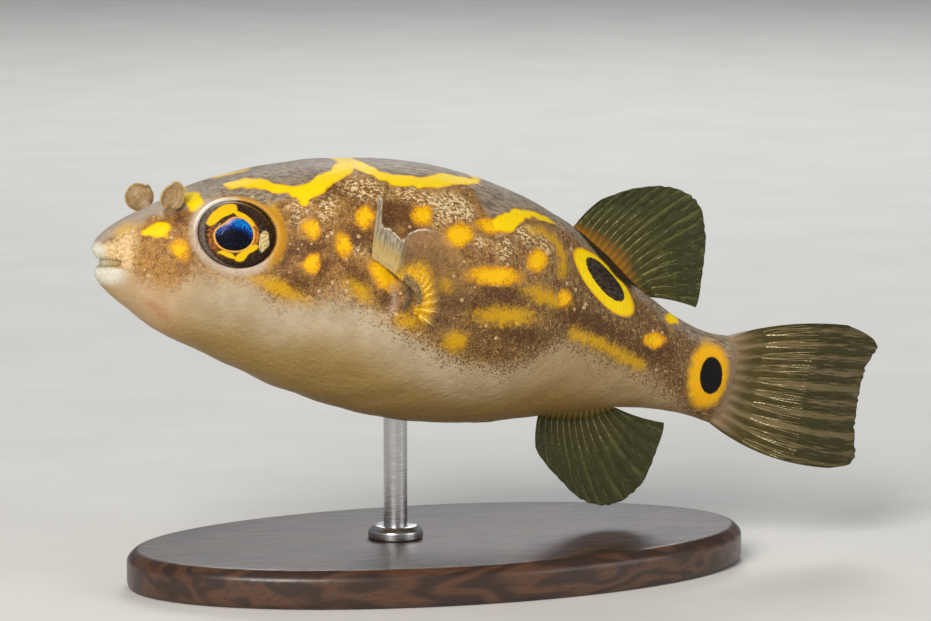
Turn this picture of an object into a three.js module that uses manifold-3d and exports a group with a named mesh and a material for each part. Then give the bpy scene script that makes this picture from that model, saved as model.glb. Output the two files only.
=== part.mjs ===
// Figure-eight pufferfish, a life-size still model on a display stand.
// Millimetres, +Z up, head toward -X, the fish's left side toward -Y.
// The fish is shaped in a frame of its own: x runs from the mouth to the tail,
// z is up from the line through the mouth and the tail root, and y is across.
// That frame is then tipped nose-up and set over the middle of the stand's base.

import * as THREE from 'three';
import { mergeVertices } from 'three/addons/utils/BufferGeometryUtils.js';
import Module from 'manifold-3d';

const wasm = await Module();
wasm.setup();

// ---- Driving dimensions -------------------------------------------------

const GAP = 0.3;                 // clearance between neighbouring pieces
const NOSE_UP = THREE.MathUtils.degToRad(12.5);

// Body outline, station by station behind the mouth. "waist" is the height of
// the widest line; "above" and "below" say how square the section is there.
const BODY = [
  { at: 3.4, back: 5.25, belly: -3.25, half: 3.1, waist: 0.7, above: 2.2, below: 2.1 },
  { at: 6.0, back: 6.95, belly: -4.55, half: 4.2, waist: 0.9, above: 2.4, below: 2.1 },
  { at: 9.5, back: 8.95, belly: -5.5, half: 5.4, waist: 1.2, above: 2.6, below: 2.1 },
  { at: 13.0, back: 10.45, belly: -6.4, half: 6.4, waist: 1.3, above: 2.6, below: 2.1 },
  { at: 18.0, back: 11.95, belly: -7.6, half: 7.7, waist: 1.2, above: 2.5, below: 2.1 },
  { at: 26.0, back: 13.05, belly: -8.45, half: 8.8, waist: 1.2, above: 2.2, below: 2.1 },
  { at: 34.0, back: 12.3, belly: -7.75, half: 8.2, waist: 1.2, above: 2.1, below: 2.1 },
  { at: 41.0, back: 10.0, belly: -5.95, half: 6.1, waist: 1.2, above: 2.05, below: 2.1 },
  { at: 48.0, back: 5.95, belly: -4.15, half: 3.7, waist: 0.7, above: 2.05, below: 2.1 },
  { at: 53.0, back: 3.8, belly: -3.75, half: 2.4, waist: 0.1, above: 2.1, below: 2.1 },
  { at: 56.2, back: 3.5, belly: -4.05, half: 1.6, waist: -0.2, above: 2.1, below: 2.1 },
  { at: 57.8, back: 3.7, belly: -4.3, half: 0.6, waist: -0.25, above: 2.1, below: 2.1 },
];
const SNOUT_END = BODY[0].at;    // where the snout's curves run into the body
const TAIL_ROOT = BODY[BODY.length - 1].at;

// The snout's curves leave the edge of the mouth, roll over the lips and run
// back to the first body station. Each is given for the top, side and bottom.
const MOUTH = {
  half: 2.0,                     // half width between the corners
  height: 0.0,                   // level of the gap between the lips
  lift: 0.5,                     // how much higher the corners are
  gape: 0.36,                    // half height of that gap
  front: 0.12,                   // how far back the gap is at the middle
  corner: 1.75,                  // how far back the corners are
  depth: 2.1,                    // how far in the slot runs
};
const LIP_ROLL = { top: 1.57, side: 0.75, bottom: 0.5 };    // forward bulge
const LIP_RISE = { top: 0.54, side: 0.35, bottom: 0.64 };   // bulge away from the gap
const SNOUT = {
  reach: { top: -0.55, side: 2.2, bottom: 0.9 },
  rise: { top: 2.88, side: 0.3, bottom: -2.1 },
  half: 2.85,
};

// Cuts that part the body
const LIP_BACK = 1.5;
const HEAD_BACK = 22.9;
const TRUNK_BACK = 50.2;

// Beak plates, seen between the lips
const TOOTH = { half: 1.35, front: 0.5, back: 1.6, wall: 0.5, root: 0.7, edge: 0.08 };

// Eyes: flattened balls, turned a little forward and up
const EYE = {
  at: [10.0, 3.75, 4.45],
  radii: [3.4, 2.3, 2.95],
  forward: THREE.MathUtils.degToRad(10),
  upward: THREE.MathUtils.degToRad(14),
};

// Nasal tentacles: a short stalk with two round lobes on each nostril.
// Every lobe is a disc: its middle, radii and the way it faces (turn about Z).
const STALK = { radius: 0.42, sink: 0.8 };
const LOBE_THICKNESS = 0.62;
const TENTACLES = {
  left: {
    foot: [4.8, -2.45, 5.1],
    knee: [4.6, -2.8, 5.85],
    lobes: [
      { at: [3.95, -2.9, 6.6], radii: [0.7, 1.0], turn: 12, tip: 14 },
      { at: [4.7, -2.8, 6.85], radii: [0.68, 1.15], turn: -28, tip: -10 },
    ],
  },
  right: {
    foot: [4.3, 2.25, 4.9],
    knee: [3.9, 2.8, 5.3],
    lobes: [
      { at: [3.45, 3.0, 5.75], radii: [1.22, 1.2], turn: -14, tip: 20 },
      { at: [4.0, 3.3, 6.0], radii: [0.85, 0.95], turn: 30, tip: 0 },
    ],
  },
};

// Fins are fans of rays. A ray leaves the base line at a share "t" of the way
// along it, at an angle above the tailward direction, for a length. Round
// fleshy bars along the base line, half sunk in the body, hold the rays. "bow"
// bends the rays up, for the first and the last of them.
const FIN_EDGE = 0.55;           // thickness at the rim
const BAR = 0.65;                // radius of the bar, as a share of the fin's root
const DORSAL = {
  base: [{ t: 0, at: 40.6, up: 10.1 }, { t: 1, at: 48.6, up: 5.5 }],
  bow: [0, 0],
  root: 1.5,                     // thickness at the base
  sway: -0.5,                    // how far the rim swings to the fish's left
  rays: [
    { t: 0.0, angle: 58, length: 3.4 },
    { t: 0.15, angle: 57, length: 5.9 },
    { t: 0.35, angle: 52, length: 8.4 },
    { t: 0.55, angle: 47, length: 9.1 },
    { t: 0.72, angle: 38, length: 7.8 },
    { t: 0.87, angle: 22, length: 5.8 },
    { t: 1.0, angle: -1, length: 4.4 },
  ],
};
const ANAL = {
  base: [{ t: 0, at: 41.0, up: -5.9 }, { t: 1, at: 47.5, up: -4.15 }],
  bow: [0, 0],
  root: 1.4,
  sway: -0.4,
  rays: [
    { t: 0.0, angle: -86, length: 2.9 },
    { t: 0.15, angle: -73, length: 5.4 },
    { t: 0.35, angle: -66, length: 7.9 },
    { t: 0.55, angle: -58, length: 8.8 },
    { t: 0.72, angle: -45, length: 8.1 },
    { t: 0.87, angle: -29, length: 6.3 },
    { t: 1.0, angle: -7, length: 4.9 },
  ],
};
const CAUDAL = {
  base: [{ t: 0, at: 56.9, up: 3.6 }, { t: 1, at: 56.9, up: -4.25 }],
  bow: [0.045, -0.075],
  root: 1.0,
  sway: -0.9,
  rays: [
    { t: 0.0, angle: 15, length: 10.7 },
    { t: 0.1, angle: 11, length: 13.5 },
    { t: 0.3, angle: 8.5, length: 12.9 },
    { t: 0.5, angle: 3.5, length: 12.7 },
    { t: 0.7, angle: -1.5, length: 12.9 },
    { t: 0.9, angle: -7.5, length: 13.5 },
    { t: 1.0, angle: -9, length: 11.6 },
  ],
};
// Pectoral fins, in a frame of their own: x tailward, z up, y out of the flank.
const PECTORAL = {
  base: [
    { t: 0, at: -2.2, up: 2.1 },
    { t: 0.4, at: 0.3, up: 0.9 },
    { t: 0.65, at: 1.75, up: -0.1 },
    { t: 1, at: 2.0, up: -2.1 },
  ],
  bow: [0, 0],
  root: 0.9,
  sway: 0.4,
  rays: [
    { t: 0.0, angle: 94, length: 4.9 },
    { t: 0.12, angle: 95, length: 3.0 },
    { t: 0.3, angle: 84, length: 2.75 },
    { t: 0.4, angle: 87, length: 3.6 },
    { t: 0.5, angle: 85, length: 4.6 },
    { t: 0.6, angle: 79, length: 5.15 },
    { t: 0.7, angle: 64, length: 5.25 },
    { t: 0.8, angle: 43, length: 5.15 },
    { t: 0.88, angle: 18, length: 4.75 },
    { t: 0.95, angle: -10, length: 3.75 },
    { t: 1.0, angle: -42, length: 2.55 },
  ],
};
const PECTORAL_AT = [22.6, 8.5, 3.2];
const PECTORAL_SPLAY = THREE.MathUtils.degToRad(24);   // its rear stands off the flank
const PECTORAL_LEAN = THREE.MathUtils.degToRad(8);     // and so does its top

// Stand: oval base, one slim upright rod and a collar where it meets the base
const BASE = { at: -5, halfLength: 27, halfWidth: 15, thickness: 3.2, bevel: 0.7 };
const ROD = { radius: 1.0, intoBody: 2.6, intoBase: 1.8 };
const COLLAR = { radius: 2.3, height: 1.1 };
const FISH_AT = [-34.72, 0, 27.68];   // the fish's own origin, the lowest fin 1.7 over the base
const ROD_UNDER = 28.4;          // body station that the rod meets, in the fish's frame

// ---- Shape helpers ------------------------------------------------------

// Smooth curve through the named rows, read at one place.
function smooth(rows, place, key, at) {
  const last = rows.length - 1;
  let i = 0;
  while (i < last - 1 && at > rows[i + 1][place]) i += 1;
  const slope = (k) => {
    const a = rows[Math.max(k - 1, 0)];
    const b = rows[Math.min(k + 1, last)];
    return (b[key] - a[key]) / (b[place] - a[place]);
  };
  const span = rows[i + 1][place] - rows[i][place];
  const u = (at - rows[i][place]) / span;
  const rise = u * u * (3 - 2 * u);
  const from = rows[i][key] * (1 - rise) + rows[i + 1][key] * rise;
  return from + span * u * (1 - u) * ((1 - u) * slope(i) - u * slope(i + 1));
}

// One point of the body's section; angle 0 is the back and pi the belly.
function sectionPoint(at, angle) {
  const c = Math.cos(angle);
  const s = Math.sin(angle);
  const waist = smooth(BODY, 'at', 'waist', at);
  const edge = smooth(BODY, 'at', c > 0 ? 'back' : 'belly', at);
  const power = 2 / smooth(BODY, 'at', c > 0 ? 'above' : 'below', at);
  return new THREE.Vector3(
    at,
    smooth(BODY, 'at', 'half', at) * Math.sign(s) * Math.abs(s) ** power,
    waist + (edge - waist) * Math.abs(c) ** power,
  );
}

// Value between the top, side and bottom of the snout.
function around(values, c) {
  const end = c > 0 ? values.top : values.bottom;
  return values.side + (end - values.side) * Math.abs(c) ** 1.5;
}

// Level of the gap between the lips, which climbs to the corners of the mouth.
function gapLevel(across) {
  return MOUTH.height + MOUTH.lift * (across / MOUTH.half) ** 2;
}

function gapHalf(c) {
  return MOUTH.gape * Math.sign(c) * Math.abs(c) ** 0.6;
}

// One point of the snout: u is 0 at the edge of the mouth and 1 at the body.
function snoutPoint(u, angle) {
  const c = Math.cos(angle);
  const s = Math.sin(angle);
  const edge = new THREE.Vector3(
    MOUTH.front + (MOUTH.corner - MOUTH.front) * s * s,
    MOUTH.half * s,
    gapLevel(MOUTH.half * s) + gapHalf(c),
  );
  const roll = new THREE.Vector3(
    edge.x - around(LIP_ROLL, c),
    edge.y + around(LIP_RISE, 0) * s,
    edge.z + around(LIP_RISE, c) * c,
  );
  const brow = new THREE.Vector3(
    around(SNOUT.reach, c),
    SNOUT.half * s,
    SNOUT.rise.side + ((c > 0 ? SNOUT.rise.top : SNOUT.rise.bottom) - SNOUT.rise.side) * Math.abs(c),
  );
  const curve = new THREE.CubicBezierCurve3(edge, roll, brow, sectionPoint(SNOUT_END, angle));
  return curve.getPoint(u);
}

// Closed skin over a run of rings, with a point in the middle of each end.
function loft(rings) {
  const sides = rings[0].length;
  const middle = (ring) => {
    const sum = ring.reduce((total, p) => total.add(p), new THREE.Vector3());
    return sum.divideScalar(sides);
  };
  const points = [...rings.flat(), middle(rings[0]), middle(rings[rings.length - 1])];
  const first = rings.length * sides;
  const index = [];
  for (let j = 0; j < sides; j += 1) {
    const k = (j + 1) % sides;
    index.push(first, j, k);
    for (let i = 0; i < rings.length - 1; i += 1) {
      const a = i * sides;
      const b = a + sides;
      index.push(a + j, b + j, b + k, a + j, b + k, a + k);
    }
    const end = first - sides;
    index.push(first + 1, end + k, end + j);
  }
  return outward(points, index);
}

// Geometry from points and triangles, turned so that its faces point out.
function outward(points, index) {
  const volume = new THREE.Vector3();
  let total = 0;
  for (let i = 0; i < index.length; i += 3) {
    volume.crossVectors(points[index[i + 1]], points[index[i + 2]]);
    total += points[index[i]].dot(volume);
  }
  const turned = total < 0 ? index.toReversed() : index;
  const geometry = new THREE.BufferGeometry().setFromPoints(points);
  geometry.setIndex(turned);
  geometry.computeVertexNormals();
  return geometry;
}

// Turns a closed geometry into a solid that can be joined and cut.
function solid(geometry) {
  const bare = geometry.clone();
  bare.deleteAttribute('normal');
  bare.deleteAttribute('uv');
  const merged = mergeVertices(bare, 1e-4);
  return new wasm.Manifold(new wasm.Mesh({
    numProp: 3,
    vertProperties: new Float32Array(merged.getAttribute('position').array),
    triVerts: new Uint32Array(merged.getIndex().array),
  }));
}

function geometryOf(body) {
  const mesh = body.getMesh();
  const geometry = new THREE.BufferGeometry();
  geometry.setAttribute('position', new THREE.BufferAttribute(mesh.vertProperties, 3));
  geometry.setIndex(new THREE.BufferAttribute(mesh.triVerts, 1));
  geometry.computeVertexNormals();
  return geometry;
}

// Block that spans the whole fish in y and z between two body stations.
function slab(from, to) {
  const geometry = new THREE.BoxGeometry(to - from, 60, 80);
  geometry.translate((from + to) / 2, 0, 0);
  return solid(geometry);
}

// ---- Pieces in the fish's frame -----------------------------------------

const AROUND = 32;               // sides of the body's rings
const SNOUT_RINGS = 6;
const BODY_STEP = 3.0;

function wholeBody() {
  const angles = Array.from({ length: AROUND }, (_, j) => (2 * Math.PI * j) / AROUND);
  const rings = [];
  for (let i = 0; i < SNOUT_RINGS; i += 1) {
    rings.push(angles.map((a) => snoutPoint(i / SNOUT_RINGS, a)));
  }
  const count = Math.round((TAIL_ROOT - SNOUT_END) / BODY_STEP);
  for (let i = 0; i <= count; i += 1) {
    const at = SNOUT_END + ((TAIL_ROOT - SNOUT_END) * i) / count;
    rings.push(angles.map((a) => sectionPoint(at, a)));
  }
  return solid(loft(rings));
}

// Extrudes an outline of [across, up] points along the body.
function alongBody(outline, from, to) {
  const shape = new THREE.Shape(outline.map(([across, up]) => new THREE.Vector2(across, up)));
  const geometry = new THREE.ExtrudeGeometry(shape, { depth: to - from, bevelEnabled: false });
  geometry.rotateX(Math.PI / 2);
  geometry.rotateZ(Math.PI / 2);
  geometry.translate(from, 0, 0);
  return solid(geometry);
}

// Slot between the lips, run straight into the snout.
function mouthSlot() {
  const outline = Array.from({ length: 16 }, (_, k) => {
    const angle = (2 * Math.PI * k) / 16;
    const across = MOUTH.half * Math.sin(angle);
    return [across, gapLevel(across) + gapHalf(Math.cos(angle))];
  });
  return alongBody(outline.reverse(), -4, MOUTH.depth);
}

// Room that a lip may take: the front of the snout over or under the gap.
function jawRoom(side) {
  const line = Array.from({ length: 13 }, (_, k) => {
    const across = 4 * (k / 6 - 1);
    return [across, gapLevel(across) + (side * GAP) / 2];
  });
  const outline = [...line, [4, 40 * side], [-4, 40 * side]];
  return alongBody(side > 0 ? outline : outline.reverse(), -5, LIP_BACK - GAP / 2);
}

// Beak plate: a band that follows the front of the jaw. Side +1 is the upper.
function toothPlate(side, grow = 0) {
  const { half, front, back, wall, root, edge } = TOOTH;
  const steps = 8;
  const outer = [];
  const inner = [];
  for (let i = 0; i <= steps; i += 1) {
    const a = Math.PI * (i / steps - 0.5);
    const reach = back - front;
    outer.push([back - (reach + grow) * Math.cos(a), (half + grow) * Math.sin(a)]);
    inner.push([back - (reach - wall - grow) * Math.cos(a), (half - wall - grow) * Math.sin(a)]);
  }
  const shape = new THREE.Shape();
  const outline = [...outer, ...inner.reverse()];
  outline.forEach(([x, y], i) => (i ? shape.lineTo(x, y) : shape.moveTo(x, y)));
  const height = root - edge + 2 * grow;
  const geometry = new THREE.ExtrudeGeometry(shape, { depth: height, bevelEnabled: false });
  const low = side > 0 ? edge - grow : -root - grow;
  geometry.translate(0, 0, MOUTH.height + low);
  return solid(geometry);
}

// Eyeball as a placed mesh; side -1 is the fish's left.
function eyePlacement(side) {
  const holder = new THREE.Object3D();
  holder.position.set(EYE.at[0], side * EYE.at[1], EYE.at[2]);
  holder.rotation.set(side * EYE.upward, 0, side * EYE.forward, 'ZXY');
  holder.updateMatrix();
  return holder;
}

function eyeGeometry(grow = 0) {
  const geometry = new THREE.SphereGeometry(1, 20, 12);
  geometry.rotateX(Math.PI / 2);
  geometry.scale(...EYE.radii.map((r) => r + grow));
  return geometry;
}

// Rod between two points, as a closed cylinder.
function rodBetween(from, to, radius, sides = 12) {
  const way = new THREE.Vector3().subVectors(to, from);
  const geometry = new THREE.CylinderGeometry(radius, radius, way.length(), sides);
  const turn = new THREE.Quaternion().setFromUnitVectors(
    new THREE.Vector3(0, 1, 0),
    way.clone().normalize(),
  );
  geometry.applyQuaternion(turn);
  geometry.translate(...way.multiplyScalar(0.5).add(from).toArray());
  return geometry;
}

// Stalk and two lobes of one nasal tentacle, joined.
function tentacle({ foot, knee, lobes }, grow = 0) {
  const root = new THREE.Vector3(...foot);
  const bend = new THREE.Vector3(...knee);
  const sunk = root.clone().addScaledVector(bend.clone().sub(root).normalize(), -STALK.sink - grow);
  let whole = solid(rodBetween(sunk, bend, STALK.radius + grow, 8));
  for (const { at, radii, turn, tip } of lobes) {
    const disc = new THREE.SphereGeometry(1, 10, 6);
    disc.scale(radii[0] + grow, LOBE_THICKNESS / 2 + grow, radii[1] + grow);
    disc.rotateY(THREE.MathUtils.degToRad(tip));
    disc.rotateZ(THREE.MathUtils.degToRad(turn));
    disc.translate(...at);
    whole = whole.add(solid(disc));
    const neck = new THREE.Vector3(...at);
    whole = whole.add(solid(rodBetween(bend, neck, STALK.radius * 0.6 + grow, 6)));
  }
  return whole;
}

// Fan of rays, closed all round, joined to the fleshy bars at its base.
function fin({ base, bow, root, sway, rays }, grow = 0) {
  const columns = 15;
  const rows = 4;
  const opens = Math.sign(rays[rays.length - 1].angle - rays[0].angle);
  const front = [];
  const back = [];
  for (let i = 0; i <= columns; i += 1) {
    const t = i / columns;
    const angle = THREE.MathUtils.degToRad(smooth(rays, 't', 'angle', t));
    const length = smooth(rays, 't', 'length', t) + grow;
    const way = new THREE.Vector3(Math.cos(angle), 0, Math.sin(angle));
    const aside = new THREE.Vector3(-way.z, 0, way.x);
    const bend = 4 * length * (bow[0] + (bow[1] - bow[0]) * t);
    const foot = new THREE.Vector3(smooth(base, 't', 'at', t), 0, smooth(base, 't', 'up', t));
    foot.addScaledVector(aside, opens * grow * (2 * t - 1));
    for (let j = 0; j <= rows; j += 1) {
      const share = j / rows;
      const half = (root + (FIN_EDGE - root) * Math.min(3 * share, 1)) / 2 + grow;
      const p = foot.clone().addScaledVector(way, length * share);
      p.addScaledVector(aside, bend * share * (1 - share));
      p.y += sway * share * share;
      front.push(p.clone().setY(p.y - half));
      back.push(p.clone().setY(p.y + half));
    }
  }
  let whole = solid(closedSheet(front, back, columns, rows));
  for (let i = 1; i < base.length; i += 1) {
    const from = new THREE.Vector3(base[i - 1].at, 0, base[i - 1].up);
    const to = new THREE.Vector3(base[i].at, 0, base[i].up);
    const over = to.clone().sub(from).setLength(grow);
    whole = whole.add(solid(rodBetween(from.sub(over), to.add(over), BAR * root + grow, 8)));
  }
  return whole;
}

// Joins two matching grids of points into one closed sheet.
function closedSheet(front, back, columns, rows) {
  const width = rows + 1;
  const other = front.length;
  const index = [];
  const quad = (a, b, c, d) => index.push(a, b, c, a, c, d);
  for (let i = 0; i < columns; i += 1) {
    for (let j = 0; j < rows; j += 1) {
      const a = i * width + j;
      quad(a, a + 1, a + width + 1, a + width);
      quad(other + a, other + a + width, other + a + width + 1, other + a + 1);
    }
    const low = i * width;
    const high = low + rows;
    quad(low, low + width, other + low + width, other + low);
    quad(high, other + high, other + high + width, high + width);
  }
  for (let j = 0; j < rows; j += 1) {
    const far = columns * width + j;
    quad(j, other + j, other + j + 1, j + 1);
    quad(far, far + 1, other + far + 1, other + far);
  }
  return outward([...front, ...back], index);
}

// Pectoral fin, placed on a flank; side -1 is the fish's left.
function pectoralGeometry(side, grow = 0) {
  return geometryOf(fin({ ...PECTORAL, sway: side * PECTORAL.sway }, grow));
}

function pectoralPlacement(side) {
  const holder = new THREE.Object3D();
  holder.position.set(PECTORAL_AT[0], side * PECTORAL_AT[1], PECTORAL_AT[2]);
  holder.rotation.set(-side * PECTORAL_LEAN, 0, side * PECTORAL_SPLAY, 'ZXY');
  holder.updateMatrix();
  return holder;
}

// ---- Placing the fish over its stand --------------------------------------

const FISH = new THREE.Group();
FISH.rotation.y = NOSE_UP;
FISH.position.set(...FISH_AT);
FISH.updateMatrix();

const BELLY = new THREE.Vector3(ROD_UNDER, 0, smooth(BODY, 'at', 'belly', ROD_UNDER));
const ROD_TOP = BELLY.applyMatrix4(FISH.matrix).add(new THREE.Vector3(0, 0, ROD.intoBody));

function rod(grow = 0) {
  const low = new THREE.Vector3(ROD_TOP.x, 0, BASE.thickness - ROD.intoBase - grow);
  const high = new THREE.Vector3(ROD_TOP.x, 0, ROD_TOP.z + grow);
  return rodBetween(low, high, ROD.radius + grow, 20);
}

function standBase() {
  const outline = new THREE.Shape();
  const { halfLength, halfWidth, thickness, bevel } = BASE;
  outline.absellipse(0, 0, halfLength - bevel, halfWidth - bevel, 0, 2 * Math.PI);
  const geometry = new THREE.ExtrudeGeometry(outline, {
    depth: thickness - 2 * bevel,
    bevelThickness: bevel,
    bevelSize: bevel,
    bevelSegments: 2,
    curveSegments: 14,
  });
  geometry.translate(BASE.at, 0, bevel);
  return solid(geometry).subtract(solid(rod(GAP)));
}

function standCollar() {
  const { radius, height } = COLLAR;
  const inner = ROD.radius + GAP;
  const profile = [
    new THREE.Vector2(inner, 0),
    new THREE.Vector2(radius, 0),
    new THREE.Vector2(radius, height * 0.5),
    new THREE.Vector2(radius - 0.3, height),
    new THREE.Vector2(inner, height),
    new THREE.Vector2(inner, 0),
  ];
  const geometry = new THREE.LatheGeometry(profile, 16);
  geometry.rotateX(Math.PI / 2);
  geometry.translate(ROD_TOP.x, 0, BASE.thickness + GAP);
  return geometry;
}

// ---- Cutting the pieces -----------------------------------------------------

function mesh(name, geometry, color, roughness, metalness = 0) {
  const piece = new THREE.Mesh(
    geometry,
    new THREE.MeshStandardMaterial({ color, roughness, metalness }),
  );
  piece.name = name;
  return piece;
}

function placed(piece, holder) {
  piece.position.copy(holder.position);
  piece.quaternion.copy(holder.quaternion);
  return piece;
}

const SIDES = { left: -1, right: 1 };
const SKIN = '#8c6134';
const LIP = '#e2d8bf';
const FIN = '#5c5220';

function addFish(group) {
  const rodInFish = rod(GAP).applyMatrix4(FISH.matrix.clone().invert());
  let body = wholeBody().subtract(mouthSlot()).subtract(solid(rodInFish));
  for (const jaw of [1, -1]) body = body.subtract(toothPlate(jaw, GAP));
  for (const spec of [DORSAL, ANAL, CAUDAL]) body = body.subtract(fin(spec, GAP));
  for (const [name, side] of Object.entries(SIDES)) {
    const eyeHole = eyeGeometry(GAP).applyMatrix4(eyePlacement(side).matrix);
    const finHole = pectoralGeometry(side, GAP).applyMatrix4(pectoralPlacement(side).matrix);
    body = body.subtract(solid(eyeHole)).subtract(solid(finHole));
    body = body.subtract(tentacle(TENTACLES[name], GAP));
  }
  const cut = GAP / 2;
  const upper = body.intersect(jawRoom(1));
  const lower = body.intersect(jawRoom(-1));
  const head = body.intersect(slab(LIP_BACK + cut, HEAD_BACK - cut));
  const trunk = body.intersect(slab(HEAD_BACK + cut, TRUNK_BACK - cut));
  const stalk = body.intersect(slab(TRUNK_BACK + cut, TAIL_ROOT + 5));
  group.add(
    mesh('upper_lip', geometryOf(upper), LIP, 0.45),
    mesh('lower_lip', geometryOf(lower), LIP, 0.45),
    mesh('tooth_plate_upper', geometryOf(toothPlate(1)), '#d9d0b4', 0.3),
    mesh('tooth_plate_lower', geometryOf(toothPlate(-1)), '#d9d0b4', 0.3),
    mesh('head', geometryOf(head), SKIN, 0.5),
    mesh('trunk', geometryOf(trunk), SKIN, 0.5),
    mesh('tail_stalk', geometryOf(stalk), SKIN, 0.5),
    mesh('dorsal_fin', geometryOf(fin(DORSAL)), FIN, 0.4),
    mesh('anal_fin', geometryOf(fin(ANAL)), FIN, 0.4),
    mesh('caudal_fin', geometryOf(fin(CAUDAL)), FIN, 0.4),
  );
  for (const [name, side] of Object.entries(SIDES)) {
    const eye = mesh(`eye_${name}`, eyeGeometry(), '#3a2a1c', 0.08);
    const flipper = mesh(`pectoral_fin_${name}`, pectoralGeometry(side), '#b08c3c', 0.4);
    const flap = geometryOf(tentacle(TENTACLES[name]));
    group.add(
      placed(eye, eyePlacement(side)),
      placed(flipper, pectoralPlacement(side)),
      mesh(`nasal_tentacle_${name}`, flap, '#8b6a3d', 0.45),
    );
  }
}

const puffer = new THREE.Group();
puffer.name = 'pufferfish_on_stand';
addFish(FISH);
puffer.add(
  FISH,
  mesh('stand_base', geometryOf(standBase()), '#2b1a10', 0.35),
  mesh('stand_rod', rod(), '#b9bcc0', 0.25, 1),
  mesh('stand_collar', standCollar(), '#b9bcc0', 0.25, 1),
);

export default puffer;
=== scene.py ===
"""Looks of the figure-eight pufferfish on its display stand.

The fish is shaped in a frame of its own, in millimetres: x runs from the mouth to the
tail, z is up from the line through the mouth and the tail root, and y is across, with
the fish's left side at negative y. place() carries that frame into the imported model's.
"""
import math

import bpy
import numpy as np
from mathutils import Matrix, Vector


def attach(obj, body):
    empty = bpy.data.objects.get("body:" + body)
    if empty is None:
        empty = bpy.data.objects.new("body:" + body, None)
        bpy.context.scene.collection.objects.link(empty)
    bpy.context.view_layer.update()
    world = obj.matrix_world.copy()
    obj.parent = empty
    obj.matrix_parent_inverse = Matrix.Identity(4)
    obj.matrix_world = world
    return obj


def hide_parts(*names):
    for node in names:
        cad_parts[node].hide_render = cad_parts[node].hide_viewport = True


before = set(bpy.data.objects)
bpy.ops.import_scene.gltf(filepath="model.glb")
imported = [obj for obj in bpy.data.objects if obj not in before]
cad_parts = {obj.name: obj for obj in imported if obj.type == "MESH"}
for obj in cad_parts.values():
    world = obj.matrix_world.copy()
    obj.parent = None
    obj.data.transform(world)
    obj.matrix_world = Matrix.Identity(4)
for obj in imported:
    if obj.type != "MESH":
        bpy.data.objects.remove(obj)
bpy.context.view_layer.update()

MM = 0.001
NOSE_UP = math.radians(12.5)
FISH_AT = (-34.72, 0.0, 27.68)      # the fish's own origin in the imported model, mm
SIDES = {"left": -1, "right": 1}
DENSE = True


# ---- The body's outline, as in the solids ----------------------------

# behind the mouth, back height, belly height, half width, height of the widest
# line, squareness above that line, squareness below it
BODY = np.array([
    (3.4, 5.25, -3.25, 3.1, 0.7, 2.2, 2.1),
    (6.0, 6.95, -4.55, 4.2, 0.9, 2.4, 2.1),
    (9.5, 8.95, -5.5, 5.4, 1.2, 2.6, 2.1),
    (13.0, 10.45, -6.4, 6.4, 1.3, 2.6, 2.1),
    (18.0, 11.95, -7.6, 7.7, 1.2, 2.5, 2.1),
    (26.0, 13.05, -8.45, 8.8, 1.2, 2.2, 2.1),
    (34.0, 12.3, -7.75, 8.2, 1.2, 2.1, 2.1),
    (41.0, 10.0, -5.95, 6.1, 1.2, 2.05, 2.1),
    (48.0, 5.95, -4.15, 3.7, 0.7, 2.05, 2.1),
    (53.0, 3.8, -3.75, 2.4, 0.1, 2.1, 2.1),
    (56.2, 3.5, -4.05, 1.6, -0.2, 2.1, 2.1),
    (57.8, 3.7, -4.3, 0.6, -0.25, 2.1, 2.1),
])
AT, BACK, BELLY, HALF, WAIST, ABOVE, BELOW = range(7)
SNOUT_END, TAIL_ROOT = BODY[0, AT], BODY[-1, AT]

MOUTH_HALF, MOUTH_HEIGHT, MOUTH_LIFT, GAPE = 2.0, 0.0, 0.5, 0.36
MOUTH_FRONT, MOUTH_CORNER = 0.12, 1.75
# top, side and bottom of the snout's curves
LIP_ROLL = (1.5, 0.75, 0.5)
LIP_RISE = (0.5, 0.35, 0.64)
SNOUT_REACH = (-0.55, 2.2, 0.9)
SNOUT_RISE = (2.74, 0.3, -2.1)
SNOUT_HALF = 2.85

EYE_AT = (10.0, 3.75, 4.45)
EYE_RADII = (3.4, 2.3, 2.95)        # along the body, outward, up
EYE_FORWARD, EYE_UPWARD = math.radians(10), math.radians(14)
EYE_OPENING = (3.25, 2.8)           # half width and half height of the lids' opening


def smooth(rows, column, at):
    """Smooth curve through one column of the rows, read at the given places."""
    rows = np.asarray(rows, float)
    knot, value = rows[:, 0], rows[:, column]
    last = len(rows) - 1
    before, after = np.maximum(np.arange(last + 1) - 1, 0), np.minimum(np.arange(last + 1) + 1, last)
    slope = (value[after] - value[before]) / (knot[after] - knot[before])
    i = np.clip(np.searchsorted(knot, at) - 1, 0, last - 1)
    gap = knot[i + 1] - knot[i]
    u = np.clip((at - knot[i]) / gap, 0, 1)
    rise = u * u * (3 - 2 * u)
    turn = gap * u * (1 - u) * ((1 - u) * slope[i] - u * slope[i + 1])
    return value[i] * (1 - rise) + value[i + 1] * rise + turn


def section(at, angle):
    """Points of the body's section; angle 0 is the back and pi the belly."""
    at, angle = np.broadcast_arrays(np.asarray(at, float), np.asarray(angle, float))
    c, s = np.cos(angle), np.sin(angle)
    waist = smooth(BODY, WAIST, at)
    edge = np.where(c > 0, smooth(BODY, BACK, at), smooth(BODY, BELLY, at))
    power = 2 / np.where(c > 0, smooth(BODY, ABOVE, at), smooth(BODY, BELOW, at))
    across = smooth(BODY, HALF, at) * np.sign(s) * np.abs(s) ** power
    return np.stack([at, across, waist + (edge - waist) * np.abs(c) ** power], -1)


def around(values, c):
    """Value between the top, side and bottom of the snout."""
    top, side, bottom = values
    return side + (np.where(c > 0, top, bottom) - side) * np.abs(c) ** 1.5


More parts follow.
